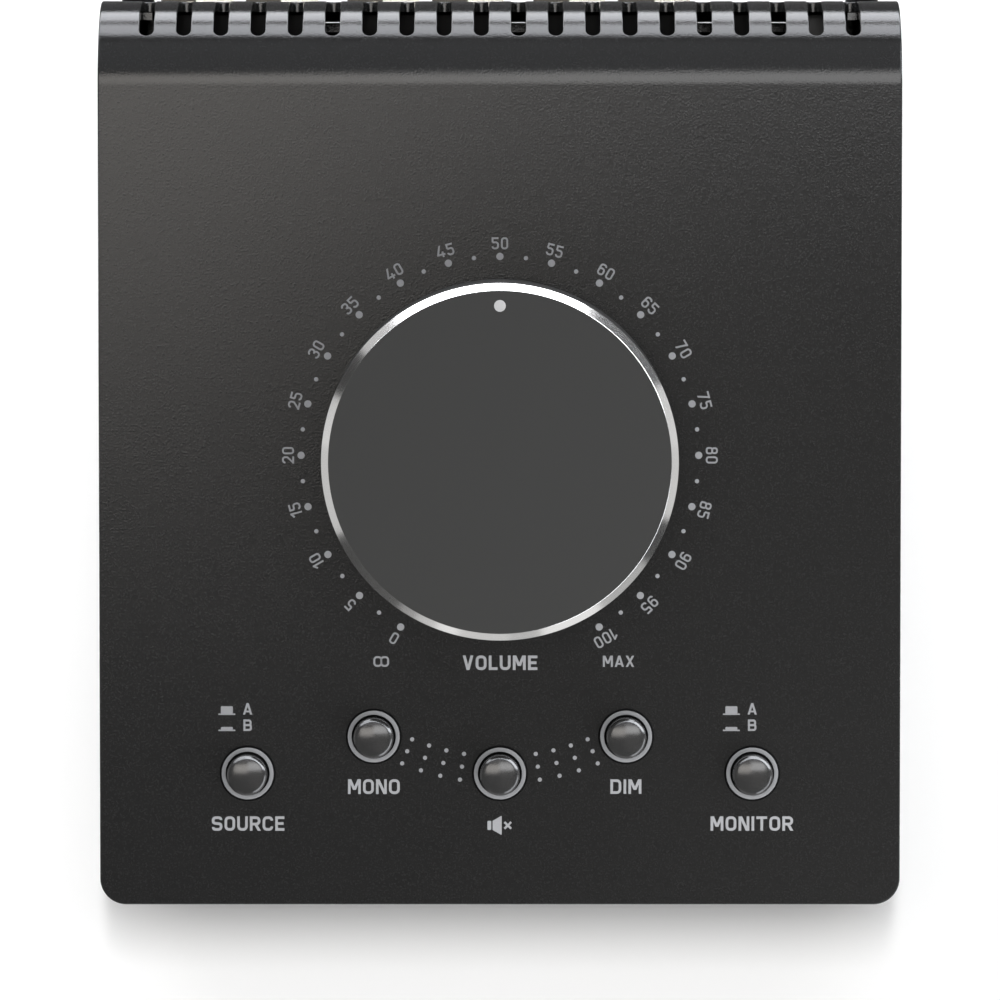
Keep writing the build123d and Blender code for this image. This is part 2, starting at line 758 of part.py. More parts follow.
# ---------------------------------------------------------------- connectors
def socket_body(x, width, depth, nose_radius, proud, bore_radius, bore_length):
    """Board-mounted socket: a block behind the rear wall with a round nose through it."""
    high = 2 * jack_axis_height - main_board_top
    mouth = rear_y + proud
    body = block((x - width / 2, x + width / 2), (rear_inner - depth, rear_inner), (main_board_top, high))
    body += rear_rod(nose_radius, rear_inner, mouth, x, jack_axis_height)
    return body - rear_rod(bore_radius, mouth - bore_length, mouth, x, jack_axis_height)


def jack(x):
    """6.35 mm jack socket."""
    return socket_body(
        x, jack_width, jack_body_depth, jack_bush_radius, jack_reach, jack_bore_radius, jack_bore_length
    )


def jack_washers():
    """Washers on the jacks' bushes."""
    high = rear_y + jack_washer_thickness
    washers = []
    for x in jack_places.values():
        washer = rear_rod(jack_washer_radius, rear_y, high, x, jack_axis_height)
        washers.append(washer - rear_rod(jack_bush_radius + thread_gap, rear_y, high, x, jack_axis_height))
    return washers


def jack_nuts():
    """Nuts on the jacks' bushes."""
    low = rear_y + jack_washer_thickness
    nut = hex_rod(jack_nut_across_flats, 0, jack_nut_height) - rod(jack_bush_radius + thread_gap, 0, jack_nut_height)
    flats_sideways = Rot(-90, 0, 0) * Rot(0, 0, 30)
    return [Pos(x, low, jack_axis_height) * flats_sideways * nut for x in jack_places.values()]


def mini_jack():
    """3.5 mm jack socket."""
    return socket_body(
        mini_jack_x, mini_jack_width, mini_jack_body_depth, mini_jack_nose_radius,
        mini_jack_proud, mini_jack_bore_radius, mini_jack_bore_length,
    )


def power_inlet():
    """Housing of the low-voltage power inlet, with the seat of its centre pin."""
    body = socket_body(
        inlet_x, inlet_width, inlet_body_depth, inlet_nose_radius,
        inlet_proud, inlet_bore_radius, inlet_bore_length,
    )
    seat = rear_y + inlet_proud - inlet_bore_length
    return body - rear_rod(inlet_pin_radius, seat - inlet_pin_root, seat, inlet_x, jack_axis_height)


def power_pin():
    """Centre pin of the power inlet."""
    seat = rear_y + inlet_proud - inlet_bore_length
    tip = rear_y + inlet_proud - inlet_pin_recess
    pin = rear_rod(inlet_pin_radius, seat - inlet_pin_root, tip, inlet_x, jack_axis_height)
    return fillet(pin.edges().group_by(Axis.Y)[-1], inlet_pin_radius / 2)


# ---------------------------------------------------------------- all nodes
def all_nodes():
    """Every node by name, as one solid or as a list of identical solids."""
    nodes = {
        "top_cover": top_cover(),
        "cover_studs": cover_studs(),
        "cover_nuts": cover_nuts(),
        "side_frame": side_frame(),
        "base_plate": base_plate(),
        "base_screws": base_screws(),
        "rear_screws": rear_screws(),
        "main_board": main_board(),
        "main_spacers": main_spacers(),
        "main_board_screws": main_board_screws(),
        "control_board": control_board(),
        "control_posts": control_posts(),
        "control_board_screws": control_board_screws(),
        "ribbon_headers": ribbon_headers(),
        "ribbon_cable": ribbon_cable(),
        "capacitors": capacitors(),
        "chips": chips(),
        "pot_case": pot_case(),
        "pot_bushing": pot_bushing(),
        "pot_washer": pot_washer(),
        "pot_nut": pot_nut(),
        "pot_shaft": pot_shaft(),
        "knob_cap": knob_cap(),
        "knob_core": knob_core(),
        "pointer_dot": pointer_dot(),
        "button_bezels": button_bezels(),
        "switch_bodies": switch_bodies(),
        "jack_washers": jack_washers(),
        "jack_nuts": jack_nuts(),
        "mini_jack": mini_jack(),
        "power_inlet": power_inlet(),
        "power_pin": power_pin(),
    }
    nodes.update(feet())
    nodes.update({name: jack(x) for name, x in jack_places.items()})
    for name, place in button_places.items():
        nodes[f"{name}_button"] = button_cap(*place)
        nodes[f"{name}_plunger"] = plunger(*place)
        nodes[f"{name}_spring"] = return_spring(*place)
    return nodes


os.makedirs("parts", exist_ok=True)
for node_name, shape in all_nodes().items():
    solids = shape if isinstance(shape, list) else [shape]
    whole = Compound(children=solids) if len(solids) > 1 else solids[0]
    export_step(whole, f"parts/{node_name}.step")
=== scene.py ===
"""Looks of the desktop monitor controller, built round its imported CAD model.

Everything is in metres in the CAD's frame. Sizes are written in millimetres and times MM. What the
sloping panel carries is drawn in panel coordinates: u to the right, v up the slope, w out of the
panel, origin at the centre of the dial."""

from math import cos, hypot, pi, radians, sin, tan, tau

import bpy
from mathutils import Matrix, Vector
from mathutils.geometry import delaunay_2d_cdt


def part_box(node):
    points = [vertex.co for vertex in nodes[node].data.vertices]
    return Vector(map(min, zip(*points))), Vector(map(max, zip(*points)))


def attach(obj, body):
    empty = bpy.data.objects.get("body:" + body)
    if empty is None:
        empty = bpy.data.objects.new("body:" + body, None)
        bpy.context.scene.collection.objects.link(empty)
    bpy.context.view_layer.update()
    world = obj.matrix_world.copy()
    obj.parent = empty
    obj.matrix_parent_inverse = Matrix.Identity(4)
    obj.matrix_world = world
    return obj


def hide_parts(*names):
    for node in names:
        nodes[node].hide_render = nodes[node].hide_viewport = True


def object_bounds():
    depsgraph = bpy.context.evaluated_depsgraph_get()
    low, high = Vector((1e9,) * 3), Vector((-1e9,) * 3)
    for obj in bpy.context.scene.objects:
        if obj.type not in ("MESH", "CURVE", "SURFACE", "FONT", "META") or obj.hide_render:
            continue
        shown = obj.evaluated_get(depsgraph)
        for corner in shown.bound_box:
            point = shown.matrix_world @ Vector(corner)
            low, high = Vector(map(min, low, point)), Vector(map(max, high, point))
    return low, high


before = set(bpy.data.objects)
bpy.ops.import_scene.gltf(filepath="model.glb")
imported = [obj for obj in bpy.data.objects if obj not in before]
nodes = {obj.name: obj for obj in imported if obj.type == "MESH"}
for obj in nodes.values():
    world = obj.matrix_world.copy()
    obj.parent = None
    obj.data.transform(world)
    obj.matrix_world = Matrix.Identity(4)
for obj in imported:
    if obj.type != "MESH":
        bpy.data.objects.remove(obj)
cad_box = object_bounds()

MM = 0.001

# ---------------------------------------------------------------- side frame and base plate
# The tray of the case: a strip of 1.2 mm steel folded into the front and the sides, and a flat bottom.
# Both are powder coated black. The coat is a fine pebbled skin, which spreads each highlight a little.


def linear(colour):
    """Linear RGBA of an sRGB hex colour."""
    shares = [int(colour[i : i + 2], 16) / 255 for i in (1, 3, 5)]
    return (*[c / 12.92 if c <= 0.04045 else ((c + 0.055) / 1.055) ** 2.4 for c in shares], 1.0)


def add_node(tree, kind, inputs=None, **settings):
    """Add a node with its settings. An input is a value or another node's (node, output)."""
    node = tree.nodes.new(kind)
    for name, value in settings.items():
        setattr(node, name, value)
    for name, value in (inputs or {}).items():
        if isinstance(value, tuple) and isinstance(value[0], bpy.types.Node):
            tree.links.new(value[0].outputs[value[1]], node.inputs[name])
        else:
            node.inputs[name].default_value = value
    return node


def empty_tree(owner):
    """Cleared node tree of a material or world."""
    owner.use_nodes = True
    owner.node_tree.nodes.clear()
    return owner.node_tree


def grained(name, dark, light, grain, relief, roughness, swing, stretch=(1, 1, 1), **shader):
    """Material whose colour, gloss and relief follow one random grain. Grain and relief in mm."""
    material = bpy.data.materials.new(name)
    tree = empty_tree(material)
    place = add_node(tree, "ShaderNodeTexCoord")
    drawn = add_node(tree, "ShaderNodeMapping", {"Vector": (place, "Object"), "Scale": stretch})
    speckle = add_node(
        tree, "ShaderNodeTexNoise",
        {"Vector": (drawn, "Vector"), "Scale": 1 / (grain * MM), "Detail": 2.0, "Roughness": 0.6},
    )
    mixed = add_node(
        tree, "ShaderNodeMix", {0: (speckle, "Fac"), 6: linear(dark), 7: linear(light)}, data_type="RGBA"
    )
    gloss = add_node(
        tree, "ShaderNodeMapRange",
        {"Value": (speckle, "Fac"), "From Min": 0.3, "From Max": 0.7,
         "To Min": roughness - swing, "To Max": roughness + swing},
    )
    bump = add_node(
        tree, "ShaderNodeBump", {"Height": (speckle, "Fac"), "Strength": 1.0, "Distance": relief * MM}
    )
    shade = add_node(
        tree, "ShaderNodeBsdfPrincipled",
        {"Base Color": (mixed, 2), "Roughness": (gloss, "Result"), "Normal": (bump, "Normal")},
    )
    for socket, value in shader.items():
        shade.inputs[socket.replace("_", " ")].default_value = value
    add_node(tree, "ShaderNodeOutputMaterial", {"Surface": (shade, "BSDF")})
    return material


def clothe(material, *names):
    """Give CAD nodes a material."""
    for name in names:
        nodes[name].data.materials.clear()
        nodes[name].data.materials.append(material)


# Powder coat on steel: the grains of about 0.3 mm melt to a satin skin, near black, with soft highlights.
powder_coat = grained("black_powder_coat", "#080808", "#282828", 0.3, 0.018, 0.11, 0.03)
clothe(powder_coat, "side_frame", "base_plate")

# ---------------------------------------------------------------- feet
# Four tapered pads of moulded rubber, stuck under the base plate. Matte, a little dusty on the skin.
rubber = grained("moulded_rubber", "#141414", "#232323", 0.5, 0.02, 0.85, 0.06)
clothe(rubber, *[name for name in nodes if name.startswith("foot_")])

# ---------------------------------------------------------------- boards and what they carry
# Two glass-fibre boards with black solder mask, on threaded steel spacers. The mask is their own finish, and
# its near-black also stands in for the shade inside the case: with the black parts and sleeves on them it
# keeps the inside of the vent slots dark.


def solder_mask(name, mask, track, pitch):
    """Board: smooth lacquer with the slightly raised tracks under it. Pitch of the tracks in mm."""
    material = grained(name, mask, mask, 0.8, 0.001, 0.75, 0.05, IOR=1.3)
    tree = material.node_tree
    shade = next(n for n in tree.nodes if n.type == "BSDF_PRINCIPLED")
    place = next(n for n in tree.nodes if n.type == "TEX_COORD")
    tracks = add_node(
        tree, "ShaderNodeTexBrick",
        {"Vector": (place, "Object"), "Color1": linear(mask), "Color2": linear(mask), "Mortar": linear(track),
         "Scale": 1 / (pitch * MM), "Mortar Size": 0.06, "Brick Width": 4.0, "Row Height": 1.0},
    )
    tree.links.new(tracks.outputs["Color"], shade.inputs["Base Color"])
    return material


clothe(solder_mask("black_mask_inside_shade", "#0b0d0c", "#141a16", 2.0), "main_board", "control_board")
# Zinc plating on turned steel: bluish bright metal with fine turning lines across its axis.
zinc = grained("zinc_plated_steel", "#8e9298", "#a9adb2", 0.08, 0.001, 0.32, 0.08, (1, 1, 9), Metallic=1.0)
clothe(
    zinc, "cover_studs", "cover_nuts", "main_spacers", "control_posts", "main_board_screws",
    "control_board_screws", "pot_bushing", "pot_washer", "pot_nut",
)
# Moulded black plastic of sockets, chips and switch housings: matte, from an eroded mould.
black_plastic = grained("moulded_black_plastic", "#0c0c0c", "#121212", 0.25, 0.004, 0.7, 0.08, IOR=1.4)
clothe(black_plastic, "ribbon_headers", "chips", "pot_case", "switch_bodies", "knob_core")
# Dark grey PVC of the flat cable: a soft ridge for each wire, 1.27 mm apart.
cable_sheath = grained("grey_cable_sheath", "#303236", "#3c3e42", 1.27, 0.05, 0.55, 0.05, (1, 0.05, 0.05))
clothe(cable_sheath, "ribbon_cable")
# Sleeve shrunk round each capacitor: smooth, blue-black and a little glossy.
clothe(grained("capacitor_sleeve", "#0c0d12", "#14151c", 0.7, 0.002, 0.25, 0.05), "capacitors")
# Shaft of drawn aluminium: lengthwise scratches.
drawn = grained("drawn_aluminium", "#a8a9ab", "#c4c5c7", 0.1, 0.001, 0.3, 0.08, (9, 9, 1), Metallic=1.0)
clothe(drawn, "pot_shaft")

# ---------------------------------------------------------------- rear connectors
# Jack sockets and the power inlet of moulded nylon, with nickel-plated washers and nuts over the bushes.
# The nylon is black and satin. The nickel is warm and bright, with lines from the face of the tool.
JACKS = [name for name in nodes if name.endswith("_jack") and name != "mini_jack"]
nylon = grained("moulded_nylon", "#0e0e0e", "#161616", 0.3, 0.003, 0.38, 0.06, IOR=1.53)
clothe(nylon, "mini_jack", "power_inlet", *JACKS)
nickel = grained("nickel_plate", "#b3aea4", "#cbc6bc", 0.12, 0.001, 0.22, 0.06, (1, 6, 1), Metallic=1.0)
clothe(nickel, "jack_washers", "jack_nuts", "power_pin")

# ---------------------------------------------------------------- screws of the rear wall and the base
# Pan-head steel screws with a cross recess, blackened in oxide: dark, oily metal.
black_oxide = grained("black_oxide_steel", "#1b1b1d", "#2a2a2c", 0.2, 0.003, 0.4, 0.08, Metallic=0.6)
clothe(black_oxide, "rear_screws", "base_screws")

# ---------------------------------------------------------------- top cover
# One sheet of 1.8 mm steel: the flat panel, a round bend and the rear wall, with 20 vent slots pressed
# through the bend. It is drawn flat, with every edge rounded by the coat, and then bent.
SLOPE = radians(3.36)
FRONT_HEIGHT = 32.6
PANEL_LENGTH = 135.0
DIAL_FROM_FRONT = 74.28
BEND_RADIUS = 14.0
SHEET = 1.8
HALF_WIDTH = 66.0
CORNER_RADIUS = 4.3
RIM_ROUND = 0.3
HOLE_ROUND = 0.2
SLOTS = 20
SLOT_FROM_SIDE = 7.86
SLOT_HALF = 1.175
SLOT_START = radians(36.0)
SLOT_DROP = 1.4
WALL_CORNER = 0.5
WALL_FOOT = 3.0
SOCKETS_HEIGHT = 14.0
POT_HOLE = 3.7
BUTTON_HOLE = 4.05
SOCKET_HOLES = {"mini_jack": 3.1, "power_inlet": 4.2, **{name: 4.7 for name in JACKS}}
SCREW_HOLE = 1.7
SCREW_HEAD = 2.75
BUTTONS = {
    "source": (-41.6, -52.52), "mono": (-20.8, -46.41), "mute": (0.0, -52.52),
    "dim": (20.8, -46.41), "monitor": (41.6, -52.52),
}

front_y = cad_box[0].y / MM
dial = Vector(
    (0, front_y + DIAL_FROM_FRONT * cos(SLOPE), FRONT_HEIGHT + DIAL_FROM_FRONT * sin(SLOPE))
)
# From panel coordinates in mm to the object's frame in metres.
on_panel = Matrix.Scale(MM, 4) @ Matrix.Translation(dial) @ Matrix.Rotation(SLOPE, 4, "X")
bend_y = front_y + PANEL_LENGTH * cos(SLOPE) + BEND_RADIUS * sin(SLOPE)
bend_z = FRONT_HEIGHT + PANEL_LENGTH * sin(SLOPE) - BEND_RADIUS * cos(SLOPE)
bend_end = PANEL_LENGTH + BEND_RADIUS * (pi / 2 + SLOPE)
wall_end = bend_end + bend_z - WALL_FOOT


def bent(x, s, depth):
    """Where a point of the flat sheet goes, with its normal and the direction down the sheet.

    x is across, s along the flat sheet from its front edge, and depth into it from the outer face."""
    if s <= PANEL_LENGTH:
        lean = -SLOPE
    else:
        lean = min((s - PANEL_LENGTH) / BEND_RADIUS - SLOPE, pi / 2)
    normal = Vector((0, sin(lean), cos(lean)))
    along = Vector((0, cos(lean), -sin(lean)))
    run = min(s - PANEL_LENGTH, 0) + max(s - bend_end, 0)
    place = Vector((x, bend_y, bend_z)) + normal * (BEND_RADIUS - depth) + along * run
    return place, normal, along


def arc_loop(x, s, radius, count, first=0.0, turn=tau):
    """Points round a circle with their unit directions from its centre."""
    angles = [first + turn * i / count for i in range(count + (turn < tau))]
    return [(x + radius * cos(a), s + radius * sin(a), cos(a), sin(a)) for a in angles]


def hole(loop):
    """A loop as the edge of a hole: run the other way round, with its sides facing the hole's centre."""
    return [(x, s, -nx, -ns) for x, s, nx, ns in reversed(loop)], HOLE_ROUND


bend_steps = 31
rows = [PANEL_LENGTH + (bend_end - PANEL_LENGTH) * i / bend_steps for i in range(bend_steps + 1)]

outline = arc_loop(-HALF_WIDTH + CORNER_RADIUS, CORNER_RADIUS, CORNER_RADIUS, 12, pi, pi / 2)
outline += arc_loop(HALF_WIDTH - CORNER_RADIUS, CORNER_RADIUS, CORNER_RADIUS, 12, 1.5 * pi, pi / 2)
outline += [(HALF_WIDTH, s, 1.0, 0.0) for s in rows]
outline += arc_loop(HALF_WIDTH - WALL_CORNER, wall_end - WALL_CORNER, WALL_CORNER, 4, 0.0, pi / 2)
outline += arc_loop(-HALF_WIDTH + WALL_CORNER, wall_end - WALL_CORNER, WALL_CORNER, 4, pi / 2, pi / 2)
outline += [(-HALF_WIDTH, s, -1.0, 0.0) for s in reversed(rows)]
loops = [(outline, RIM_ROUND)]

slot_low = PANEL_LENGTH + BEND_RADIUS * SLOT_START + SLOT_HALF
slot_high = bend_end + SLOT_DROP - SLOT_HALF
clear_of_end = 0.3
slot_rows = [s for s in rows if slot_low + clear_of_end < s < slot_high - clear_of_end]
outer_slot = HALF_WIDTH - SLOT_FROM_SIDE
slot_centres = [outer_slot * (2 * i / (SLOTS - 1) - 1) for i in range(SLOTS)]
for x in slot_centres:
    slot = [(x + SLOT_HALF, s, 1.0, 0.0) for s in slot_rows]
    slot += arc_loop(x, slot_high, SLOT_HALF, 14, 0.0, pi)
    slot += [(x - SLOT_HALF, s, -1.0, 0.0) for s in reversed(slot_rows)]
    slot += arc_loop(x, slot_low, SLOT_HALF, 14, pi, pi)
    loops.append(hole(slot))

round_holes = [(0.0, DIAL_FROM_FRONT, POT_HOLE)]
round_holes += [(u, DIAL_FROM_FRONT + v, BUTTON_HOLE) for u, v in BUTTONS.values()]
wall_s = bend_end + bend_z - SOCKETS_HEIGHT
for name in ("mini_jack", "power_inlet", "rear_screws", *JACKS):
    low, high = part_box(name)
    if name == "rear_screws":
        screws = (low.x / MM + SCREW_HEAD, high.x / MM - SCREW_HEAD)
        round_holes += [(x, wall_s, SCREW_HOLE) for x in screws]
    else:
        round_holes.append(((low.x + high.x) / 2 / MM, wall_s, SOCKET_HOLES[name]))
loops += [hole(arc_loop(x, s, radius, 40)) for x, s, radius in round_holes]

# Points on the ribs between the slots, and above the slots, so that the triangles follow the bend.
RIB_POINTS = (-0.9, 0.0, 0.9)
CLEAR_OF_SIDE = 1.0
CLEAR_OF_SLOT = 0.8
BELOW_BEND = (1.2, 2.6, 4.2)
pitch = 2 * outer_slot / (SLOTS - 1)
inner_points = []
for s in rows[1:] + [bend_end + drop for drop in BELOW_BEND]:
    for i in range(SLOTS + 1):
        centre = -outer_slot + (i - 0.5) * pitch
        for x in [centre + shift for shift in RIB_POINTS]:
            if abs(x) < HALF_WIDTH - CLEAR_OF_SIDE:
                inner_points.append((x, s))
        if s < slot_low - SLOT_HALF - CLEAR_OF_SLOT and i < SLOTS:
            inner_points.append((centre + pitch / 2, s))

flat, edges, faces = [], [], []
for loop, round_off in loops:
    start = len(flat)
    flat += [(x - nx * round_off, s - ns * round_off) for x, s, nx, ns in loop]
    ring = list(range(start, len(flat)))
    edges += list(zip(ring, ring[1:] + ring[:1]))
    faces.append(ring if loop is outline else ring[::-1])
rim_count = len(flat)
tangent = [i for i in range(rim_count) if abs(flat[i][1] - PANEL_LENGTH) < 1e-6]
edges.append(tuple(tangent))
flat += inner_points
flat_vectors = [Vector(p) for p in flat]
found, _, triangles, origins, _, owners = delaunay_2d_cdt(flat_vectors, edges, faces, 0, 1e-5, True)
# Inside the outline (face 0) and outside every hole.
sheet_faces = [triangle for triangle, owner in zip(triangles, owners) if owner == [0]]
assert len(found) == len(flat), (len(found), len(flat))
order = [origin[0] for origin in origins]

# Rings of points from the outer face over the rounded edge and down to the inner face, whose edge has
# a small bevel.
INNER_BEVEL = 0.15
edge_steps = 4
leans = [pi / 2 * i / edge_steps for i in range(edge_steps + 1)] + [pi / 2, 0.75 * pi]
points, corners, corner_normals = [], [], []
for layer, lean in enumerate(leans):
    for loop, round_off in loops:
        offset, depth = round_off * (1 - sin(lean)), round_off * (1 - cos(lean))
        if layer > edge_steps:
            offset, depth = (0.0, SHEET - INNER_BEVEL) if layer == edge_steps + 1 else (INNER_BEVEL, SHEET)
        for x, s, nx, ns in loop:
            points.append(bent(x - nx * offset, s - ns * offset, depth)[0])
for x, s in inner_points:
    points.append(bent(x, s, 0)[0])
for x, s in inner_points:
    points.append(bent(x, s, SHEET)[0])
first_inner = rim_count * len(leans)


def sheet_index(i, layer):
    """Index of a flat point in the outer face's layer, or in the inner face's."""
    if i < rim_count:
        return i + rim_count * layer
    return first_inner + i - rim_count + (len(inner_points) if layer else 0)


for face in sheet_faces:
    flat_face = [order[i] for i in face]
    (ax, ay), (bx, by), (cx, cy) = [flat[i] for i in flat_face]
    if (bx - ax) * (cy - ay) - (by - ay) * (cx - ax) < 0:
        flat_face.reverse()
    normals = [bent(*flat[i], 0)[1] for i in flat_face]
    corners.append([sheet_index(i, 0) for i in flat_face])
    corner_normals += normals
    corners.append([sheet_index(i, len(leans) - 1) for i in reversed(flat_face)])
    corner_normals += [-n for n in reversed(normals)]
start = 0
for loop, _ in loops:
    size = len(loop)
    out = []
    for x, s, nx, ns in loop:
        _, normal, along = bent(x, s, 0)
        out.append((normal, Vector((nx, 0, 0)) + along * ns))
    for layer in range(len(leans) - 1):
        for i in range(size):
            j = (i + 1) % size
            quad = [(i, layer), (i, layer + 1), (j, layer + 1), (j, layer)]
            corners.append([start + rim_count * k + m for m, k in quad])
            for m, k in quad:
                lean = leans[-1] if layer == len(leans) - 2 else leans[k]
                corner_normals.append(out[m][0] * cos(lean) + out[m][1] * sin(lean))
    start += size


def add_object(name, data):
    """New object in the scene, at the origin."""
    made = bpy.data.objects.new(name, data)
    bpy.context.scene.collection.objects.link(made)
    return made


def piece(name, body, slot, mesh, *materials, replaces=()):
    """A finished piece: its mesh is in place, and it rides on a body."""
    for material in materials:
        mesh.materials.append(material)
    made = add_object(name, mesh)
    if replaces:
        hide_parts(*replaces)
    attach(made, body)


cover_mesh = bpy.data.meshes.new("cover_sheet")
cover_mesh.from_pydata([p * MM for p in points], [], corners)
cover_mesh.update()
# Near-black matte primer on the inside of the bend and the rear wall: painted shade for the inside of the
# case, so that the slots look black.
inside_shade_coat = grained("painted_shade_primer", "#050505", "#090909", 0.4, 0.004, 0.85, 0.05, IOR=1.15)
REAR_PART = 0.05
for polygon in cover_mesh.polygons:
    polygon.use_smooth = True
    polygon.material_index = int(polygon.normal.y < -0.5 and polygon.center.y > REAR_PART)
cover_mesh.normals_split_custom_set([n.normalized() for n in corner_normals])
piece("cover_sheet", "case", "powder_coat", cover_mesh, powder_coat, inside_shade_coat, replaces=["top_cover"])

# ---------------------------------------------------------------- printed legend
# Screen-printed grey ink on the coat: the dial's dots and numbers, symbols, and plain function words in
# simple stroke letters. The ink stands a few hundredths of a millimetre proud and is matte.
INK_HIGH = 0.03
# Three grey inks, matte and even: the dial's dots, the words, and the thin strokes, which dry darker.
dial_ink = grained("grey_screen_ink", "#86878a", "#929396", 0.15, 0.002, 0.6, 0.05)
ink = grained("pale_screen_ink", "#8a8b8e", "#96979a", 0.15, 0.002, 0.6, 0.05)
small_ink = grained("thin_screen_ink", "#7b7c7f", "#87888b", 0.15, 0.002, 0.6, 0.05)


def make_tree(name, sockets):
    """Empty Geometry Nodes tree with named inputs."""
    tree = bpy.data.node_groups.new(name, "GeometryNodeTree")
    tree.interface.new_socket("Geometry", in_out="INPUT", socket_type="NodeSocketGeometry")
    for label, kind in sockets.items():
        tree.interface.new_socket(label, in_out="INPUT", socket_type=kind)
    tree.interface.new_socket("Geometry", in_out="OUTPUT", socket_type="NodeSocketGeometry")
    return tree


def grow(tree, seeds, values):
    """Plain mesh that a tree makes on loose points, with its inputs set by identifier."""
    holder_mesh = bpy.data.meshes.new("seeds")
    holder_mesh.from_pydata(seeds, [], [])
    holder = add_object("seeds", holder_mesh)
    modifier = holder.modifiers.new("grow", "NODES")
    modifier.node_group = tree
    for item in tree.interface.items_tree:
        if item.in_out == "INPUT" and item.name in values:
            modifier[item.identifier] = values[item.name]
    bpy.context.view_layer.update()
    evaluated = holder.evaluated_get(bpy.context.evaluated_depsgraph_get())
    mesh = bpy.data.meshes.new_from_object(evaluated)
    bpy.data.objects.remove(holder)
    mesh.transform(on_panel)
    mesh.materials.clear()
    return mesh


dots_tree = make_tree(
    "dots_on_an_arc",
    {"Count": "NodeSocketInt", "First Angle": "NodeSocketFloat", "Step": "NodeSocketFloat",
     "Circle Radius": "NodeSocketFloat", "Large Dot": "NodeSocketFloat", "Small Dot": "NodeSocketFloat",
     "Large Every": "NodeSocketFloat", "Thickness": "NodeSocketFloat", "Finish": "NodeSocketMaterial"},
)
entry = add_node(dots_tree, "NodeGroupInput")
index = add_node(dots_tree, "GeometryNodeInputIndex")
turned_by = add_node(
    dots_tree, "ShaderNodeMath",
    {0: (index, 0), 1: (entry, "Step"), 2: (entry, "First Angle")}, operation="MULTIPLY_ADD",
)
across = add_node(dots_tree, "ShaderNodeMath", {0: (turned_by, 0)}, operation="SINE")
upward = add_node(dots_tree, "ShaderNodeMath", {0: (turned_by, 0)}, operation="COSINE")
direction = add_node(dots_tree, "ShaderNodeCombineXYZ", {"X": (across, 0), "Y": (upward, 0)})
on_circle = add_node(
    dots_tree, "ShaderNodeVectorMath",
    {0: (direction, 0), "Scale": (entry, "Circle Radius")}, operation="SCALE",
)
dot_points = add_node(
    dots_tree, "GeometryNodePoints", {"Count": (entry, "Count"), "Position": (on_circle, 0)}
)
remainder = add_node(
    dots_tree, "ShaderNodeMath", {0: (index, 0), 1: (entry, "Large Every")}, operation="FLOORED_MODULO"
)
is_large = add_node(dots_tree, "ShaderNodeMath", {0: (remainder, 0), 1: 0.5}, operation="LESS_THAN")
dot_radius = add_node(
    dots_tree, "ShaderNodeMix", {0: (is_large, 0), 2: (entry, "Small Dot"), 3: (entry, "Large Dot")}
)
dot_scale = add_node(
    dots_tree, "ShaderNodeCombineXYZ", {"X": (dot_radius, 0), "Y": (dot_radius, 0), "Z": (entry, "Thickness")}
)
disc = add_node(dots_tree, "GeometryNodeMeshCylinder", {"Vertices": 28, "Radius": 1.0, "Depth": 1.0})
placed = add_node(
    dots_tree, "GeometryNodeInstanceOnPoints",
    {"Points": (dot_points, 0), "Instance": (disc, "Mesh"), "Scale": (dot_scale, 0)},
)
realized = add_node(dots_tree, "GeometryNodeRealizeInstances", {0: (placed, 0)})
inked = add_node(
    dots_tree, "GeometryNodeSetMaterial", {"Geometry": (realized, 0), "Material": (entry, "Finish")}
)
add_node(dots_tree, "NodeGroupOutput", {0: (inked, 0)})

DIAL_RADIUS = 32.7
DIAL_START = -150
dial_dots = {
    "Count": 41, "First Angle": radians(DIAL_START), "Step": radians(7.5), "Circle Radius": DIAL_RADIUS,
    "Large Dot": 0.60, "Small Dot": 0.36, "Large Every": 2.0, "Thickness": 2 * INK_HIGH, "Finish": dial_ink,
}
piece("dial_dots", "case", "powder_coat", grow(dots_tree, [], dial_dots), dial_ink)

# Rows of dots that join the three middle buttons: arcs round one centre below the dial's.
ARC_CENTRE_V = -11.95
ARC_RADII = (37.82, 39.96, 42.14)
for side, first in (("left", -171.0), ("right", 157.5)):
    for row, radius in enumerate(ARC_RADII):
        link_dots = dial_dots | {
            "Count": 4, "First Angle": radians(first), "Step": radians(4.5),
            "Circle Radius": radius, "Large Dot": 0.35, "Large Every": 1.0,
        }
        row_mesh = grow(dots_tree, [], link_dots)
        row_mesh.transform(Matrix.Translation(on_panel.to_3x3() @ Vector((0, ARC_CENTRE_V, 0))))
        piece(f"link_dots_{side}_{row}", "case", "powder_coat", row_mesh, small_ink)


CORNER_STEPS = 6


def rounded(path):
    """Points of a path whose corners (x, y, radius) are rounded. A corner without a radius stays sharp."""
    made = []
    for i, (x, y, *radius) in enumerate(path):
        corner = Vector((x, y))
        if not radius:
            made.append(corner)
            continue
        back = Vector(path[i - 1][:2]) - corner
        ahead = Vector(path[(i + 1) % len(path)][:2]) - corner
        half = back.angle(ahead) / 2
        # A side with two rounded ends is shared between them.
        shares = [0.48 if len(path[k % len(path)]) > 2 else 0.95 for k in (i - 1, i + 1)]
        cut = min(radius[0] / tan(half), shares[0] * back.length, shares[1] * ahead.length)
        back.normalize()
        ahead.normalize()
        centre = corner + (back + ahead).normalized() * cut / cos(half)
        start = corner + back * cut - centre
        end = corner + ahead * cut - centre
        sweep = start.angle_signed(end)
        turns = [-sweep * k / CORNER_STEPS for k in range(CORNER_STEPS + 1)]
        made += [centre + Matrix.Rotation(turn, 2) @ start for turn in turns]
    return made


MITRE_LIMIT = 0.3


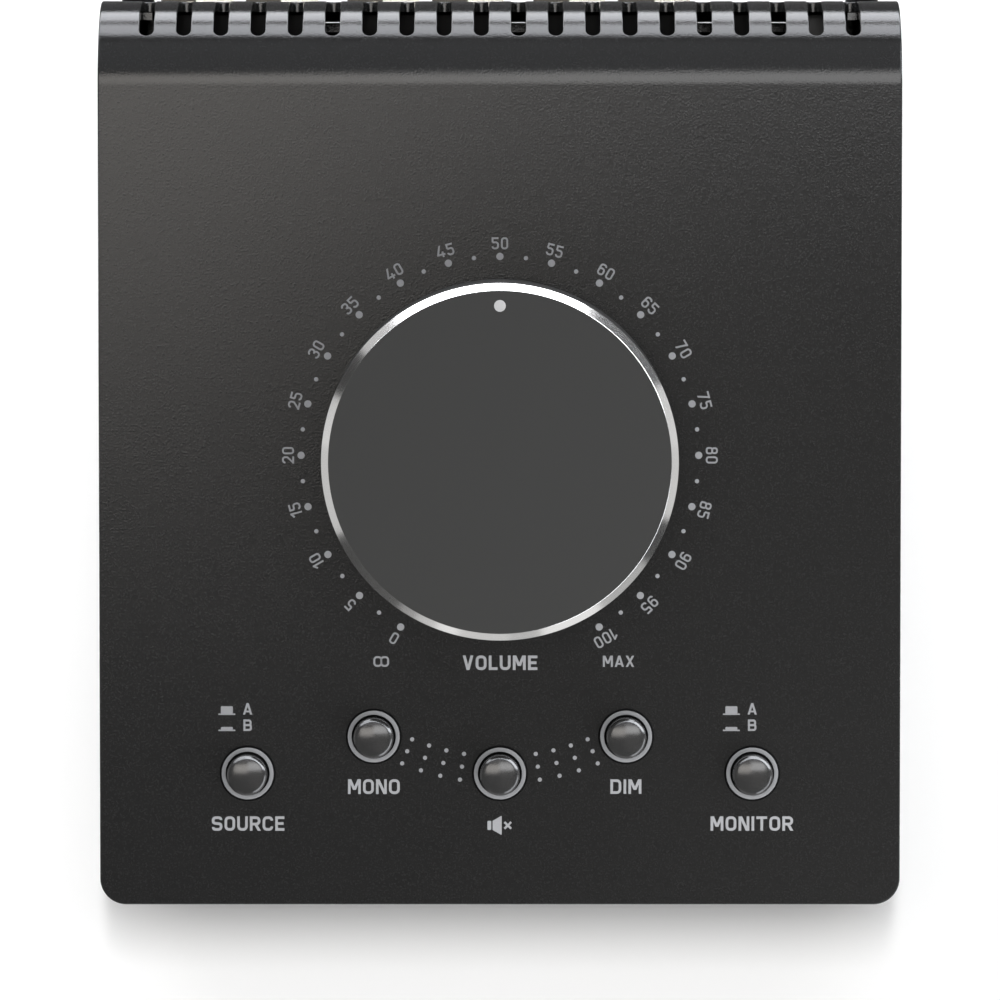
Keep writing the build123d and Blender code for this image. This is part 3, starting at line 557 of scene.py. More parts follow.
def stroke(path, width, closed=False):
    """Four-sided patches that cover a stroke of even width."""
    line = rounded(path)
    sides = []
    count = len(line)
    for i, point in enumerate(line):
        before = line[i - 1] if closed or i > 0 else None
        after = line[(i + 1) % count] if closed or i < count - 1 else None
        into = (point - before).normalized() if before is not None else (after - point).normalized()
        away = (after - point).normalized() if after is not None else into
        normal = Vector((-into.y - away.y, into.x + away.x)).normalized()
        reach = width / 2 / max(normal.dot(Vector((-into.y, into.x))), MITRE_LIMIT)
        sides.append((point + normal * reach, point - normal * reach))
    pairs = zip(sides, sides[1:] + sides[:1]) if closed else zip(sides, sides[1:])
    return [[a[0], a[1], b[1], b[0]] for a, b in pairs]


def slant(x0, y0, x1, y1, width):
    """Diagonal stroke whose ends are cut level."""
    half = width / 2 * hypot(x1 - x0, y1 - y0) / abs(y1 - y0)
    ends = ((x0 - half, y0), (x0 + half, y0), (x1 + half, y1), (x1 - half, y1))
    return [[Vector(end) for end in ends]]


WIDTHS = {"M": 0.88, "1": 0.40, "L": 0.60, "E": 0.64, "A": 0.82, "4": 0.70}
DIGIT_WIDTH, LETTER_WIDTH = 0.60, 0.74
DIGIT_CORNER, LETTER_CORNER, TIGHT_CORNER = 0.19, 0.22, 0.15


def glyph(sign, t):
    """Width and patches of one sign, one unit high, with strokes t wide."""
    h = t / 2
    w = t if sign == "I" else WIDTHS.get(sign, DIGIT_WIDTH if sign.isdigit() else LETTER_WIDTH)
    left, right, low, high, mid = h, w - h, h, 1 - h, 0.5
    r = DIGIT_CORNER if sign.isdigit() else LETTER_CORNER
    s = TIGHT_CORNER
    box = [(left, low, r), (right, low, r), (right, high, r), (left, high, r)]
    lean = h * 1.1
    if sign in "O0":
        made = stroke(box, t, True)
    elif sign == "D":
        made = stroke([(left, low), (right, low, r), (right, high, r), (left, high)], t, True)
    elif sign == "U":
        made = stroke([(left, 1), (left, low, r), (right, low, r), (right, 1)], t)
    elif sign == "C":
        made = stroke(
            [(right, 0.70), (right, high, r), (left, high, r), (left, low, r), (right, low, r),
             (right, 0.30)], t,
        )
    elif sign == "S":
        made = stroke(
            [(right, 0.74), (right, high, r), (left, high, r), (left, mid + 0.03, s), (right, mid - 0.03, s),
             (right, low, r), (left, low, r), (left, 0.26)], t,
        )
    elif sign == "L":
        made = stroke([(left, 1), (left, low), (w, low)], t)
    elif sign == "E":
        made = stroke([(w, high), (left, high), (left, low), (w, low)], t)
        made += stroke([(left, mid), (w - 0.06, mid)], t)
    elif sign == "I":
        made = stroke([(left, 0), (left, 1)], t)
    elif sign == "T":
        made = stroke([(0, high), (w, high)], t) + stroke([(w / 2, 0), (w / 2, high)], t)
    elif sign == "N":
        made = stroke([(left, 0), (left, 1)], t) + stroke([(right, 0), (right, 1)], t)
        made += slant(left + 0.05, 1, right - 0.05, 0, t)
    elif sign == "M":
        made = stroke([(left, 0), (left, 1)], t) + stroke([(right, 0), (right, 1)], t)
        made += slant(left + 0.04, 1, w / 2, 0.28, t) + slant(right - 0.04, 1, w / 2, 0.28, t)
    elif sign == "V":
        made = slant(lean, 1, w / 2, 0, t) + slant(w - lean, 1, w / 2, 0, t)
    elif sign == "A":
        made = slant(lean, 0, w / 2, 1, t) + slant(w - lean, 0, w / 2, 1, t)
        made += stroke([(0.18, 0.27), (w - 0.18, 0.27)], t * 0.85)
    elif sign == "X":
        made = slant(lean, 0, w - lean, 1, t) + slant(w - lean, 0, lean, 1, t)
    elif sign == "R":
        made = stroke([(left, 0), (left, high), (right, high, r), (right, 0.46, r), (left, 0.46)], t)
        made += slant(w / 2 + 0.02, 0.46, right + 0.01, 0, t)
    elif sign == "B":
        made = stroke([(left, low), (right, low, s), (right, mid + 0.02, s), (left, mid + 0.02)], t, True)
        made += stroke([(left, mid), (right - 0.03, mid, s), (right - 0.03, high, s), (left, high)], t, True)
    elif sign == "1":
        made = stroke([(right, 0), (right, 1)], t) + stroke([(0.02, 0.70), (right, 0.93)], t)
    elif sign == "2":
        made = stroke([(left, 0.72), (left, high, r), (right, high, r), (right, 0.55, 0.1), (left, low)], t)
        made += stroke([(0, low), (w, low)], t)
    elif sign == "3":
        waist = mid + 0.02
        made = stroke([(left, 0.76), (left, high, r), (right, high, r), (right, waist, r), (0.27, waist)], t)
        made += stroke([(0.27, waist), (right, waist, r), (right, low, r), (left, low, r), (left, 0.24)], t)
    elif sign == "4":
        made = slant(0.37, 1, left, 0.24, t) + stroke([(0, 0.24), (w, 0.24)], t)
        made += stroke([(0.5, 0), (0.5, 0.48)], t)
    elif sign == "5":
        made = stroke([(w - 0.04, high), (left, high), (left, 0.58)], t)
        made += stroke([(left, 0.58), (right, 0.58, r), (right, low, r), (left, low, r), (left, 0.24)], t)
    elif sign in "69":
        made = stroke([(left, low, r), (right, low, r), (right, 0.58, r), (left, 0.58, r)], t, True)
        made += stroke([(left, 0.35), (left, high, r), (right, high, r), (right, 0.78)], t)
        if sign == "9":
            middle = Vector((w, 1))
            made = [[middle - p for p in patch] for patch in made]
    elif sign == "7":
        made = stroke([(0, high), (w, high)], t) + slant(right - 0.02, 1 - t / 2, 0.22, 0, t)
    elif sign == "8":
        made = stroke([(left, low, s), (right, low, s), (right, 0.53, s), (left, 0.53, s)], t, True)
        inner, outer = left + 0.02, right - 0.02
        made += stroke([(inner, 0.53, s), (outer, 0.53, s), (outer, high, s), (inner, high, s)], t, True)
    return w, made


WORD_INK, THIN_INK = 0, 1
ink_points, ink_faces, ink_of_faces = [], [], []


def print_patches(patches, place, ink_index=WORD_INK):
    """Join overlapping patches to one flat shape, and print it as a thin layer in panel coordinates."""
    flat_points, patch_faces = [], []
    for patch in patches:
        turn = sum(a.x * b.y - b.x * a.y for a, b in zip(patch, patch[1:] + patch[:1]))
        ring = patch if turn > 0 else patch[::-1]
        patch_faces.append(list(range(len(flat_points), len(flat_points) + len(ring))))
        flat_points += ring
    joined, _, triangles, _, _, owners = delaunay_2d_cdt(flat_points, [], patch_faces, 0, 1e-5, True)
    covered = [triangle for triangle, owner in zip(triangles, owners) if owner]
    base = len(ink_points)
    count = len(joined)
    for high in (INK_HIGH, -INK_HIGH):
        lift = Vector((0, 0, high))
        ink_points.extend([on_panel @ (place @ Vector((p.x, p.y, 0)) + lift) for p in joined])
    directed = set()
    for face in covered:
        a, b, c = [joined[i] for i in face]
        if (b - a).cross(c - a) < 0:
            face = face[::-1]
        ink_faces.append([base + i for i in face])
        ink_faces.append([base + count + i for i in reversed(face)])
        directed.update(zip(face, list(face[1:]) + [face[0]]))
    for a, b in directed:
        if (b, a) not in directed:
            ink_faces.append([base + b, base + a, base + count + a, base + count + b])
    ink_of_faces.extend([ink_index] * (len(ink_faces) - len(ink_of_faces)))


def print_word(word, u, v, height, weight, width=None, ink_index=WORD_INK, turn=0.0, gap=0.15):
    """Print a word whose middle is at u, with its baseline at v before it is turned about the dial.

    Its strokes' weight and the gap between signs are shares of its height."""
    signs = [glyph(sign, weight) for sign in word]
    total = sum(w for w, _ in signs) + gap * (len(signs) - 1)
    stretch = width / (total * height) if width else 1.0
    pen = -total / 2
    for w, patches in signs:
        place = (
            Matrix.Rotation(-turn, 4, "Z") @ Matrix.Translation((u + pen * height * stretch, v, 0))
            @ Matrix.Diagonal((height * stretch, height, 1, 1))
        )
        print_patches(patches, place, ink_index)
        pen += w + gap


def block(u0, v0, u1, v1, corner):
    """Rounded rectangle as one patch."""
    path = [(u0, v0, corner), (u1, v0, corner), (u1, v1, corner), (u0, v1, corner)]
    return rounded(path)


# Word, its middle and baseline, height, weight, width and ink.
for word_row in (
    ("VOLUME", 0.01, -35.43, 2.4, 0.19, 12.32, WORD_INK),
    ("MAX", 19.54, -34.92, 1.86, 0.18, 5.17, THIN_INK),
    ("MONO", -20.79, -55.95, 2.44, 0.18, 8.54, WORD_INK),
    ("DIM", 20.78, -55.93, 2.41, 0.18, 5.12, WORD_INK),
    ("SOURCE", -41.55, -62.04, 2.39, 0.185, 11.97, WORD_INK),
    ("MONITOR", 41.57, -62.04, 2.39, 0.185, 13.63, WORD_INK),
):
    print_word(*word_row)
NUMBER_HEIGHT = 1.98
NUMBERS_OUTSIDE = 2.15
number_v = DIAL_RADIUS + NUMBERS_OUTSIDE - NUMBER_HEIGHT / 2
for step in range(21):
    turn = radians(DIAL_START + 15 * step)
    print_word(str(5 * step), 0, number_v, NUMBER_HEIGHT, 0.15, None, THIN_INK, turn, 0.17)
# A switch that is out and one that is in, each with its letter, above the two outer buttons. Each switch is
# a base line with a cap on it.
LETTER_U = -41.59
BASE_U = (-46.41, -43.63)
TOP_U = (-46.01, -44.03)
BASE_THICK = 0.24
TOP_FROM_BASE = 0.23
for shift in (0.0, 83.18):
    print_word("A", LETTER_U + shift, -42.8, 1.9, 0.18, None, THIN_INK)
    print_word("B", LETTER_U + shift, -45.51, 1.9, 0.18, None, THIN_INK)
    for base_v, top_v in ((-42.86, -41.42), (-45.53, -44.85)):
        base = block(BASE_U[0] + shift, base_v, BASE_U[1] + shift, base_v + BASE_THICK, 0.03)
        top = block(TOP_U[0] + shift, base_v + TOP_FROM_BASE, TOP_U[1] + shift, top_v, 0.14)
        print_patches([base], Matrix(), THIN_INK)
        print_patches([top], Matrix(), THIN_INK)
# Infinity sign at the dial's start: two joined rings.
RING_WIDTH = 0.62
infinity_place = Matrix.Translation((-19.56, -34.97, 0)) @ Matrix.Diagonal((1.84, 1.9, 1, 1))
for shift in (-0.5, 0.5):
    ends = [(-RING_WIDTH / 2, 0.12), (RING_WIDTH / 2, 0.12), (RING_WIDTH / 2, 0.88), (-RING_WIDTH / 2, 0.88)]
    rings = stroke([(x + shift * RING_WIDTH, y, 0.25) for x, y in ends], 0.17, True)
    print_patches(rings, infinity_place, THIN_INK)
# Crossed-out loudspeaker below the middle button: magnet, cone and cross.
MUTE_U, MUTE_V = -0.01, -61.15
magnet = block(MUTE_U - 2.05, MUTE_V - 0.76, MUTE_U - 1.41, MUTE_V + 0.76, 0.14)
print_patches([magnet], Matrix())
cone = [(MUTE_U - 1.2, MUTE_V - 0.76, 0.1), (MUTE_U + 0.31, MUTE_V - 1.62, 0.1),
        (MUTE_U + 0.31, MUTE_V + 1.62, 0.1), (MUTE_U - 1.2, MUTE_V + 0.76, 0.1)]
print_patches([rounded(cone)], Matrix())
CROSS_U, CROSS_HALF = MUTE_U + 1.31, 0.55
cross = []
for side in (-1, 1):
    rise = CROSS_HALF * side
    cross += stroke([(CROSS_U - CROSS_HALF, MUTE_V - rise), (CROSS_U + CROSS_HALF, MUTE_V + rise)], 0.36)
print_patches(cross, Matrix())

legend_mesh = bpy.data.meshes.new("printed_legend")
legend_mesh.from_pydata(ink_points, [], ink_faces)
legend_mesh.polygons.foreach_set("material_index", ink_of_faces)
piece("printed_legend", "case", "powder_coat", legend_mesh, ink, small_ink)

# ---------------------------------------------------------------- button bezels
# Five rings of satin grey aluminium pressed into the cover, each with a near-black ring under its flange and
# a near-black lip inside its face, which paint the shade of the gaps round the ring, and a black sleeve. Each
# is one turned section, repeated at the five places.
bezel_tree = make_tree(
    "rings_on_places",
    {"Inner Radius": "NodeSocketFloat", "Outer Radius": "NodeSocketFloat", "Low": "NodeSocketFloat",
     "High": "NodeSocketFloat", "Edge": "NodeSocketFloat", "Finish": "NodeSocketMaterial"},
)
entry = add_node(bezel_tree, "NodeGroupInput")
middle, extent = {}, {}
for way, (small, large) in {"across": ("Inner Radius", "Outer Radius"), "up": ("Low", "High")}.items():
    ends = {0: (entry, large), 1: (entry, small)}
    extent[way] = add_node(bezel_tree, "ShaderNodeMath", ends, operation="SUBTRACT")
    total = add_node(bezel_tree, "ShaderNodeMath", ends, operation="ADD")
    middle[way] = add_node(bezel_tree, "ShaderNodeMath", {0: (total, 0), 1: 2.0}, operation="DIVIDE")
circle = add_node(
    bezel_tree, "GeometryNodeCurvePrimitiveCircle", {"Resolution": 96, "Radius": (middle["across"], 0)}
)
section = add_node(
    bezel_tree, "GeometryNodeCurvePrimitiveQuadrilateral",
    {"Width": (extent["across"], 0), "Height": (extent["up"], 0)},
)
soft_section = add_node(
    bezel_tree, "GeometryNodeFilletCurve",
    {"Curve": (section, 0), "Radius": (entry, "Edge"), "Count": 3}, mode="POLY",
)
swept = add_node(
    bezel_tree, "GeometryNodeCurveToMesh",
    {"Curve": (circle, "Curve"), "Profile Curve": (soft_section, 0)},
)
lift = add_node(bezel_tree, "ShaderNodeCombineXYZ", {"Z": (middle["up"], 0)})
lifted = add_node(bezel_tree, "GeometryNodeTransform", {"Geometry": (swept, 0), "Translation": (lift, 0)})
places = add_node(bezel_tree, "GeometryNodeMeshToPoints", {"Mesh": (entry, "Geometry")})
placed = add_node(
    bezel_tree, "GeometryNodeInstanceOnPoints", {"Points": (places, 0), "Instance": (lifted, 0)}
)
realized = add_node(bezel_tree, "GeometryNodeRealizeInstances", {0: (placed, 0)})
smooth = add_node(bezel_tree, "GeometryNodeSetShadeSmooth", {"Geometry": (realized, 0)})
finished = add_node(
    bezel_tree, "GeometryNodeSetMaterial", {"Geometry": (smooth, 0), "Material": (entry, "Finish")}
)
add_node(bezel_tree, "NodeGroupOutput", {0: (finished, 0)})

# Bead-blasted and clear anodised aluminium: an even mid grey without a mirror image.
blasted = grained("blasted_aluminium", "#7b7c7f", "#8a8b8d", 0.12, 0.002, 0.7, 0.05)
# Near-black rings at the flange and inside the face: painted shade of the gaps, a dark line on both sides of
# the ring.
gap_shade_rubber = grained("gap_shade_rubber", "#030303", "#080808", 0.2, 0.001, 0.9, 0.05, Specular_IOR_Level=0.1)
# Sleeve of black plastic: its bore is a little lighter than the lines.
sleeve_plastic = grained("sleeve_plastic", "#2a2a2a", "#333333", 0.2, 0.001, 0.5, 0.05)
button_points = [(u, v, 0.0) for u, v in BUTTONS.values()]
# Name, material, slot, inner and outer radius, low and high face, and rounding of the edges.
for name, material, slot, inner, outer, low, high, edge in (
    ("bezel_rings", blasted, "bezel_ring", 3.62, 4.28, 0.05, 0.5, 0.05),
    ("bezel_seals", gap_shade_rubber, "black_plastic", 4.2, 4.6, -0.02, 0.2, 0.06),
    ("bezel_lips", gap_shade_rubber, "black_plastic", 3.42, 3.66, 0.3, 0.47, 0.05),
    ("bezel_sleeves", sleeve_plastic, "black_plastic", 3.48, 3.98, -2.4, 0.4, 0.05),
):
    ring_values = {
        "Inner Radius": inner, "Outer Radius": outer, "Low": low, "High": high,
        "Edge": edge, "Finish": material,
    }
    replaced = ["button_bezels"] if name == "bezel_rings" else []
    rings_mesh = grow(bezel_tree, button_points, ring_values)
    piece(name, "case", slot, rings_mesh, material, replaces=replaced)

# ---------------------------------------------------------------- push buttons
# Injection-moulded caps of black gloss plastic with a crowned face, on white plungers with a spring
# below. The crown gathers the lamps overhead into a short band, and the rounded edge into a rim of light.


def turned(name, profile, place, segments):
    """Mesh of revolution from (radius, height, material) rings, closed where the radius is 0."""
    verts, polygons, indices, rings = [], [], [], []
    for radius, height, _ in profile:
        count = 1 if radius == 0 else segments
        rings.append(list(range(len(verts), len(verts) + count)))
        angles = [tau * i / segments for i in range(count)]
        verts += [place @ Vector((radius * cos(a), radius * sin(a), height)) for a in angles]
    for (ring, following), (_, _, material) in zip(zip(rings, rings[1:]), profile[1:]):
        for i in range(segments):
            j = (i + 1) % segments
            ends = ((ring, i), (following, i), (following, j), (ring, j))
            quad = [circle[k % len(circle)] for circle, k in ends]
            polygons.append(list(dict.fromkeys(quad)))
            indices.append(material)
    mesh = bpy.data.meshes.new(name)
    mesh.from_pydata(verts, [], polygons)
    for polygon, material in zip(mesh.polygons, indices):
        polygon.use_smooth = True
        polygon.material_index = material
    mesh.set_sharp_from_angle(angle=radians(9))
    return mesh


CAP_REACH = 4.85
CAP_SKIRT = -1.5
PLUNGER_HOLE = 1.6
PLUNGER_DEPTH = 2.5
# The crown, the sloping rim and its rounded edge: radius, first and last lean in degrees, steps.
CAP_ARCS = ((9.3, 0, 17.4, 12), (1.47, 24, 45, 10), (0.27, 45, 90, 8))
cap_profile = [(0, CAP_REACH, 0)]
for radius, first, last, steps in CAP_ARCS:
    r, z, _ = cap_profile[-1]
    start, lean = radians(first), radians(last)
    turns = [start + (lean - start) * i / steps for i in range(1, steps + 1)]
    cap_profile += [
        (r + radius * (sin(a) - sin(start)), z + radius * (cos(a) - cos(start)), 0) for a in turns
    ]
cap_profile += [
    (cap_profile[-1][0], CAP_SKIRT, 0), (PLUNGER_HOLE, CAP_SKIRT, 0),
    (PLUNGER_HOLE, CAP_SKIRT + PLUNGER_DEPTH, 0), (0, CAP_SKIRT + PLUNGER_DEPTH, 0),
]
# Black gloss plastic from a polished mould: it mirrors the lamps softly.
gloss_plastic = grained("gloss_black_plastic", "#272727", "#2b2b2b", 0.6, 0.0004, 0.19, 0.02, IOR=1.75)
# White acetal of the plungers: waxy and matte.
white_plastic = grained("natural_acetal", "#d8d6cf", "#e4e2dc", 0.3, 0.002, 0.45, 0.06)
# Drawn steel wire: grey and bright, with fine lines along it.
spring_wire = grained("spring_wire", "#8a8b8e", "#a4a5a8", 0.08, 0.001, 0.3, 0.06, (6, 6, 1), Metallic=1.0)
for name, (u, v) in BUTTONS.items():
    cap = turned(f"{name}_cap", cap_profile, on_panel @ Matrix.Translation((u, v, 0)), 96)
    piece(f"{name}_cap", f"{name}_push", "button_gloss", cap, gloss_plastic, replaces=[f"{name}_button"])
    clothe(white_plastic, f"{name}_plunger")
    clothe(spring_wire, f"{name}_spring")

# ---------------------------------------------------------------- volume knob
# A cup turned from aluminium, blasted and dyed charcoal, with its top edge cut bright afterwards. The
# cut is a mirror-like bevel that shows the lamps round it, and a silver dot is set in the top.
KNOB_RADIUS = 28.9
KNOB_TOP = 22.4
KNOB_FOOT = 1.0
KNOB_WALL = 1.5
KNOB_ROOF = 1.6
BEVEL = 1.2
bevel_in = KNOB_RADIUS - BEVEL
knob_profile = [
    (0, KNOB_TOP, 0), (10.0, KNOB_TOP, 0), (20.0, KNOB_TOP, 0), (bevel_in - 0.02, KNOB_TOP, 0),
    (bevel_in + 0.02, KNOB_TOP - 0.02, 1), (KNOB_RADIUS - 0.03, KNOB_TOP - BEVEL + 0.03, 1),
    (KNOB_RADIUS, KNOB_TOP - BEVEL - 0.04, 0), (KNOB_RADIUS + 0.13, KNOB_FOOT + 0.25, 0),
    (KNOB_RADIUS + 0.06, KNOB_FOOT + 0.07, 0), (KNOB_RADIUS - 0.1, KNOB_FOOT, 0),
    (KNOB_RADIUS - KNOB_WALL + 0.1, KNOB_FOOT, 0), (KNOB_RADIUS - KNOB_WALL, KNOB_FOOT + 0.1, 0),
    (KNOB_RADIUS - KNOB_WALL, KNOB_TOP - KNOB_ROOF, 0), (0, KNOB_TOP - KNOB_ROOF, 0),
]
# Blasted and dyed: an even charcoal that hardly mirrors.
charcoal = grained("charcoal_anodised_aluminium", "#292928", "#2e2e2d", 0.18, 0.002, 0.62, 0.04, IOR=1.35)
# Diamond-cut edge: bare bright metal with the faint rings of the cutter.
bright_cut = grained(
    "bright_cut_aluminium", "#dddcda", "#e8e7e6", 0.3, 0.0004, 0.15, 0.03, (1, 1, 12), Metallic=1.0
)
knob_mesh = turned("knob_cup", knob_profile, on_panel, 256)
piece("knob_cup", "volume_knob", "anodised_aluminium", knob_mesh, charcoal, bright_cut, replaces=["knob_cap"])
# Silver paint in the dot's pocket, slightly domed.
silver = grained("silver_inlay", "#a2a2a3", "#b0b0b1", 0.15, 0.001, 0.45, 0.05)
DOT_FROM_CENTRE = 25.25
dot_section = ((0, 0.06), (0.6, 0.05), (0.92, 0.02), (0.99, -0.03), (0.99, -0.3), (0, -0.3))
dot_profile = [(radius, KNOB_TOP + height, 0) for radius, height in dot_section]
dot_mesh = turned("silver_dot", dot_profile, on_panel @ Matrix.Translation((0, DOT_FROM_CENTRE, 0)), 48)
piece("silver_dot", "volume_knob", "pointer_silver", dot_mesh, silver, replaces=["pointer_dot"])

# ---------------------------------------------------------------- floor, lamps and camera
# A white table top under plain soft lamps: wide boxes overhead that dim to the front and the right, boxes
# standing behind and at the right, and small fills. The shoulder, the bevel and the caps pick up their edges.
TABLE = 4
floor_mesh = bpy.data.meshes.new("floor")
floor_mesh.from_pydata(
    [(-TABLE, -TABLE, 0), (TABLE, -TABLE, 0), (TABLE, TABLE, 0), (-TABLE, TABLE, 0)], [], [(0, 1, 2, 3)]
)
floor = add_object("floor", floor_mesh)
# White laminate: matte, and seen in reflections as a plain white.
table_top = bpy.data.materials.new("white_table_top")
tree = empty_tree(table_top)
path = add_node(tree, "ShaderNodeLightPath")
lit = add_node(tree, "ShaderNodeMath", {0: (path, "Is Camera Ray"), 1: 0.2}, operation="MULTIPLY")
seen = add_node(tree, "ShaderNodeMath", {0: (path, "Is Glossy Ray"), 1: (lit, 0)}, operation="MAXIMUM")
matte = add_node(tree, "ShaderNodeBsdfDiffuse", {"Color": linear("#f4f4f4")})
glow = add_node(tree, "ShaderNodeEmission", {"Color": linear("#ffffff"), "Strength": 1.0})
shown = add_node(tree, "ShaderNodeMixShader", {0: (seen, 0), 1: (matte, 0), 2: (glow, 0)})
add_node(tree, "ShaderNodeOutputMaterial", {"Surface": (shown, 0)})
floor_mesh.materials.append(table_top)


def lamp(name, place, aim, width, height, radiance, colour="#ffffff", mirrored=True, spread=True):
    """Soft rectangular lamp, in metres. It may stay out of reflections, or show only in them."""
    light = bpy.data.lights.new(name, "AREA")
    light.shape = "RECTANGLE"
    light.size = width
    light.size_y = height
    light.energy = radiance * pi * width * height
    light.color = linear(colour)[:3]
    made = add_object(name, light)
    made.location = place
    made.rotation_euler = (Vector(aim) - Vector(place)).to_track_quat("-Z", "Y").to_euler()
    made.visible_camera = False
    made.visible_glossy = mirrored
    made.visible_diffuse = spread


OVERHEAD = 2.0
STAND_AWAY = 1.5
AIM_HEIGHT = 0.03


def overhead(name, x0, x1, back0, back1, *finish):
    """Lamp facing down from 2 m up, between two angles to the rear of straight up."""
    y0, y1 = OVERHEAD * tan(radians(back0)), OVERHEAD * tan(radians(back1))
    middle = Vector(((x0 + x1) / 2, (y0 + y1) / 2, OVERHEAD))
    lamp(name, middle, middle - Vector((0, 0, 1)), x1 - x0, y1 - y0, *finish)


def standing(name, turn0, turn1, rise0, rise1, *finish):
    """Lamp standing 1.5 m away between two bearings, clockwise from the rear, and two heights in degrees."""
    turn = radians((turn0 + turn1) / 2)
    z0, z1 = STAND_AWAY * tan(radians(rise0)), STAND_AWAY * tan(radians(rise1))
    middle = Vector((STAND_AWAY * sin(turn), STAND_AWAY * cos(turn), AIM_HEIGHT + (z0 + z1) / 2))
    width = 2 * STAND_AWAY * tan(radians(turn1 - turn0) / 2)
    lamp(name, middle, (0, 0, middle.z), width, z1 - z0, *finish)


WARM, COOL, PLAIN = "#fffaf4", "#f6f9ff", "#ffffff"
# Left and right ends in metres, angles to the rear from and to, radiance, colour.
overhead("overhead_left", -1.1, -0.02, 0.0, 13.2, 3.05, WARM)
overhead("overhead_right", -0.02, 1.1, 1.1, 17.2, 3.75)
overhead("front_step_1", -1.1, -0.13, -5.2, 0.0, 2.15, WARM)
overhead("front_step_2", -0.13, -0.045, -5.2, 0.0, 1.35, WARM)
overhead("front_step_3", -0.045, 0.045, -4.8, 0.5, 0.7, WARM)
overhead("front_step_4", 0.045, 1.1, -4.0, 1.1, 0.17, WARM)
overhead("front_step_5", 0.045, 1.1, -35.0, -4.0, 0.13, WARM)
overhead("overhead_rear", -1.1, 1.1, 18.0, 60.0, 0.42, COOL)
overhead("overhead_corner", 0.08, 0.8, -35.0, -7.5, 0.42, WARM)
overhead("overhead_line", -0.07, 0.07, 0.0, 20.0, 80.0, PLAIN, False)
# Place, aim, width, height and radiance.
lamp("front_fill", (-0.06, -0.12, 0.365), (0, 0, 0.035), 0.26, 0.26, 2.7, PLAIN, False)
lamp("corner_fill", (0.15, -0.15, 0.185), (0, 0, 0.035), 0.26, 0.26, 3.1, PLAIN, False)
lamp("table_left", (-0.3, 0.25, 0.06), (-0.09, 0, 0), 0.12, 0.08, 28.0, PLAIN, False)
lamp("table_right", (0.3, 0.25, 0.06), (0.09, 0, 0), 0.12, 0.08, 17.0, PLAIN, False)
# Bearings from and to, heights from and to in degrees, radiance, colour.
standing("rear_strip", -37, 30, 1, 20.0, 6.6, COOL)
standing("rear_right", 33, 78, 12, 48, 9.0, COOL, True, False)
standing("rear_left", -52, -38, 14, 40, 5.0, COOL, True, False)
standing("cap_left", -38, -8, 20.5, 52, 5.0, COOL, True, False)
standing("cap_right", -8, 33, 20.5, 52, 7.0, COOL, True, False)
standing("front_right", 100, 165, 12, 38, 3.5, COOL, True, False)
lamp("low_strip", (0, 0.135, 0.0165), (0, 0, 0.0165), 0.26, 0.027, 6.6, COOL)

# The line lamp and the two table lamps light the table alone and draw the shadow in front of the case. The
# fills leave the table out, the two cap lamps shine on the glossy caps alone, and the boards and sockets
# inside the case stay dark.
glossy_caps = [bpy.data.objects[f"{name}_cap"] for name in BUTTONS]
inside_names = ("main_board", "capacitors", "chips", "rear_screws", "power_pin", "mini_jack", *JACKS)
inside = [nodes[name] for name in inside_names]
for state, reached, lights in (
    ("INCLUDE", [floor], ("overhead_line", "table_left", "table_right")),
    ("INCLUDE", glossy_caps, ("cap_left", "cap_right")),
    ("EXCLUDE", [floor], ("front_fill", "corner_fill")),
    ("EXCLUDE", inside, ("overhead_left", "overhead_right", "overhead_rear")),
    ("EXCLUDE", inside, ("rear_strip", "rear_left", "rear_right")),
):
    for light in lights:
        group = bpy.data.collections.new(f"{light}_reach")
        for i, obj in enumerate(reached):
            group.objects.link(obj)
            group.collection_objects[i].light_linking.link_state = state
        bpy.data.objects[light].light_linking.receiver_collection = group

# Grey cards round the object and a grey mat behind it, which only reflections see: they part the horizon
# that the bevel shows. Bearings from and to in degrees, clockwise from the rear, and brightness.
CARDS = (
    (35, 67, 0.07), (88, 112, 0.7), (112, 127, 0.03), (127, 147, 0.46), (167, 177, 0.5), (177, 193, 0.66),
    (-160, -153, 0.6), (-153, -147, 0.3), (-147, -117, 0.04), (-117, -88, 0.66), (-71, -54, 0.05),
)
CARD_AWAY, CARD_TOP, CARD_FACES = 0.35, 0.13, 8
MAT_HALF, MAT_FRONT, MAT_BACK, MAT_HEIGHT, MAT_LEVEL = 0.3, 0.077, 0.134, 0.0004, 0.13
mat_corners = ((-MAT_HALF, MAT_FRONT), (MAT_HALF, MAT_FRONT), (MAT_HALF, MAT_BACK), (-MAT_HALF, MAT_BACK))
card_points = [(x, y, MAT_HEIGHT) for x, y in mat_corners]
card_faces = [(0, 1, 2, 3)]
levels = [MAT_LEVEL]
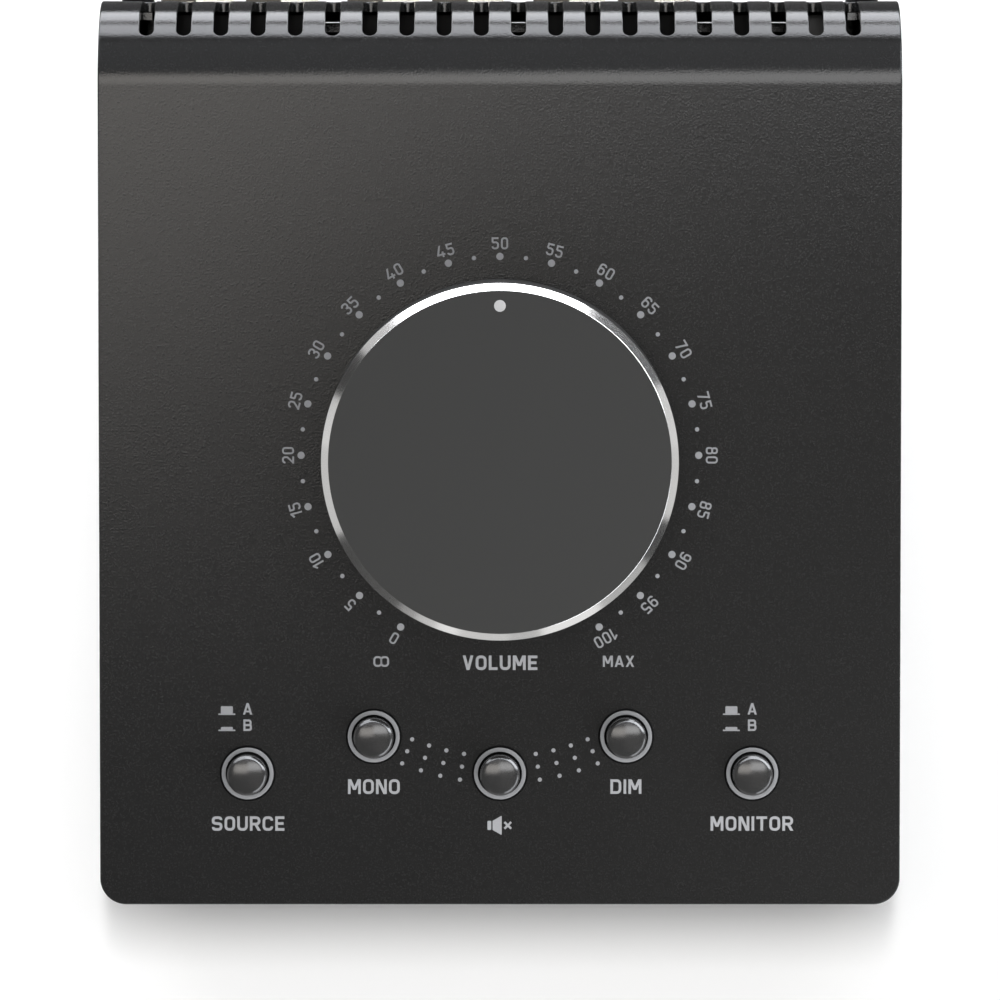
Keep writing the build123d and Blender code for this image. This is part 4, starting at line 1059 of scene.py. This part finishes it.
for turn0, turn1, level in CARDS:
    base = len(card_points)
    turns = [radians(turn0 + (turn1 - turn0) * i / CARD_FACES) for i in range(CARD_FACES + 1)]
    card_points += [(CARD_AWAY * sin(a), CARD_AWAY * cos(a), z) for a in turns for z in (0.0, CARD_TOP)]
    card_faces += [(i, i + 1, i + 3, i + 2) for i in range(base, base + 2 * CARD_FACES, 2)]
    levels += [level] * CARD_FACES
card_mesh = bpy.data.meshes.new("grey_cards")
card_mesh.from_pydata(card_points, [], card_faces)
card_mesh.attributes.new("level", "FLOAT", "FACE").data.foreach_set("value", levels)
cards = add_object("grey_cards", card_mesh)
for ray in ("camera", "diffuse", "transmission", "volume_scatter", "shadow"):
    setattr(cards, f"visible_{ray}", False)
# Matte grey card, each with its own level of grey.
grey_card = bpy.data.materials.new("grey_card")
tree = empty_tree(grey_card)
level = add_node(tree, "ShaderNodeAttribute", attribute_name="level")
glow = add_node(tree, "ShaderNodeEmission", {"Strength": (level, "Fac")})
add_node(tree, "ShaderNodeOutputMaterial", {"Surface": (glow, 0)})
card_mesh.materials.append(grey_card)

# The room: paler at the horizon than overhead, and plain white behind the table for the camera.
world = bpy.data.worlds.new("studio")
bpy.context.scene.world = world
tree = empty_tree(world)
place = add_node(tree, "ShaderNodeTexCoord")
split = add_node(tree, "ShaderNodeSeparateXYZ", {0: (place, "Generated")})
rise = add_node(
    tree, "ShaderNodeMapRange",
    {"Value": (split, "Z"), "From Min": 0.0, "From Max": 0.5, "To Min": 0.62, "To Max": 0.12},
)
path = add_node(tree, "ShaderNodeLightPath")
level = add_node(tree, "ShaderNodeMix", {0: (path, "Is Camera Ray"), 2: (rise, 0), 3: 1.0})
sky = add_node(tree, "ShaderNodeBackground", {"Color": linear("#ffffff"), "Strength": (level, 0)})
add_node(tree, "ShaderNodeOutputWorld", {"Surface": (sky, 0)})

# A long lens 1.15 m above the table, looking straight down.
camera_data = bpy.data.cameras.new("camera")
camera_data.lens = 243.8
camera_data.sensor_width = 36.0
camera_data.clip_start = 0.01
camera = add_object("camera", camera_data)
camera.location = (0.013 * MM, -9.183 * MM, 1150.9 * MM)
bpy.context.scene.camera = camera
bpy.context.scene.view_settings.view_transform = "Standard"
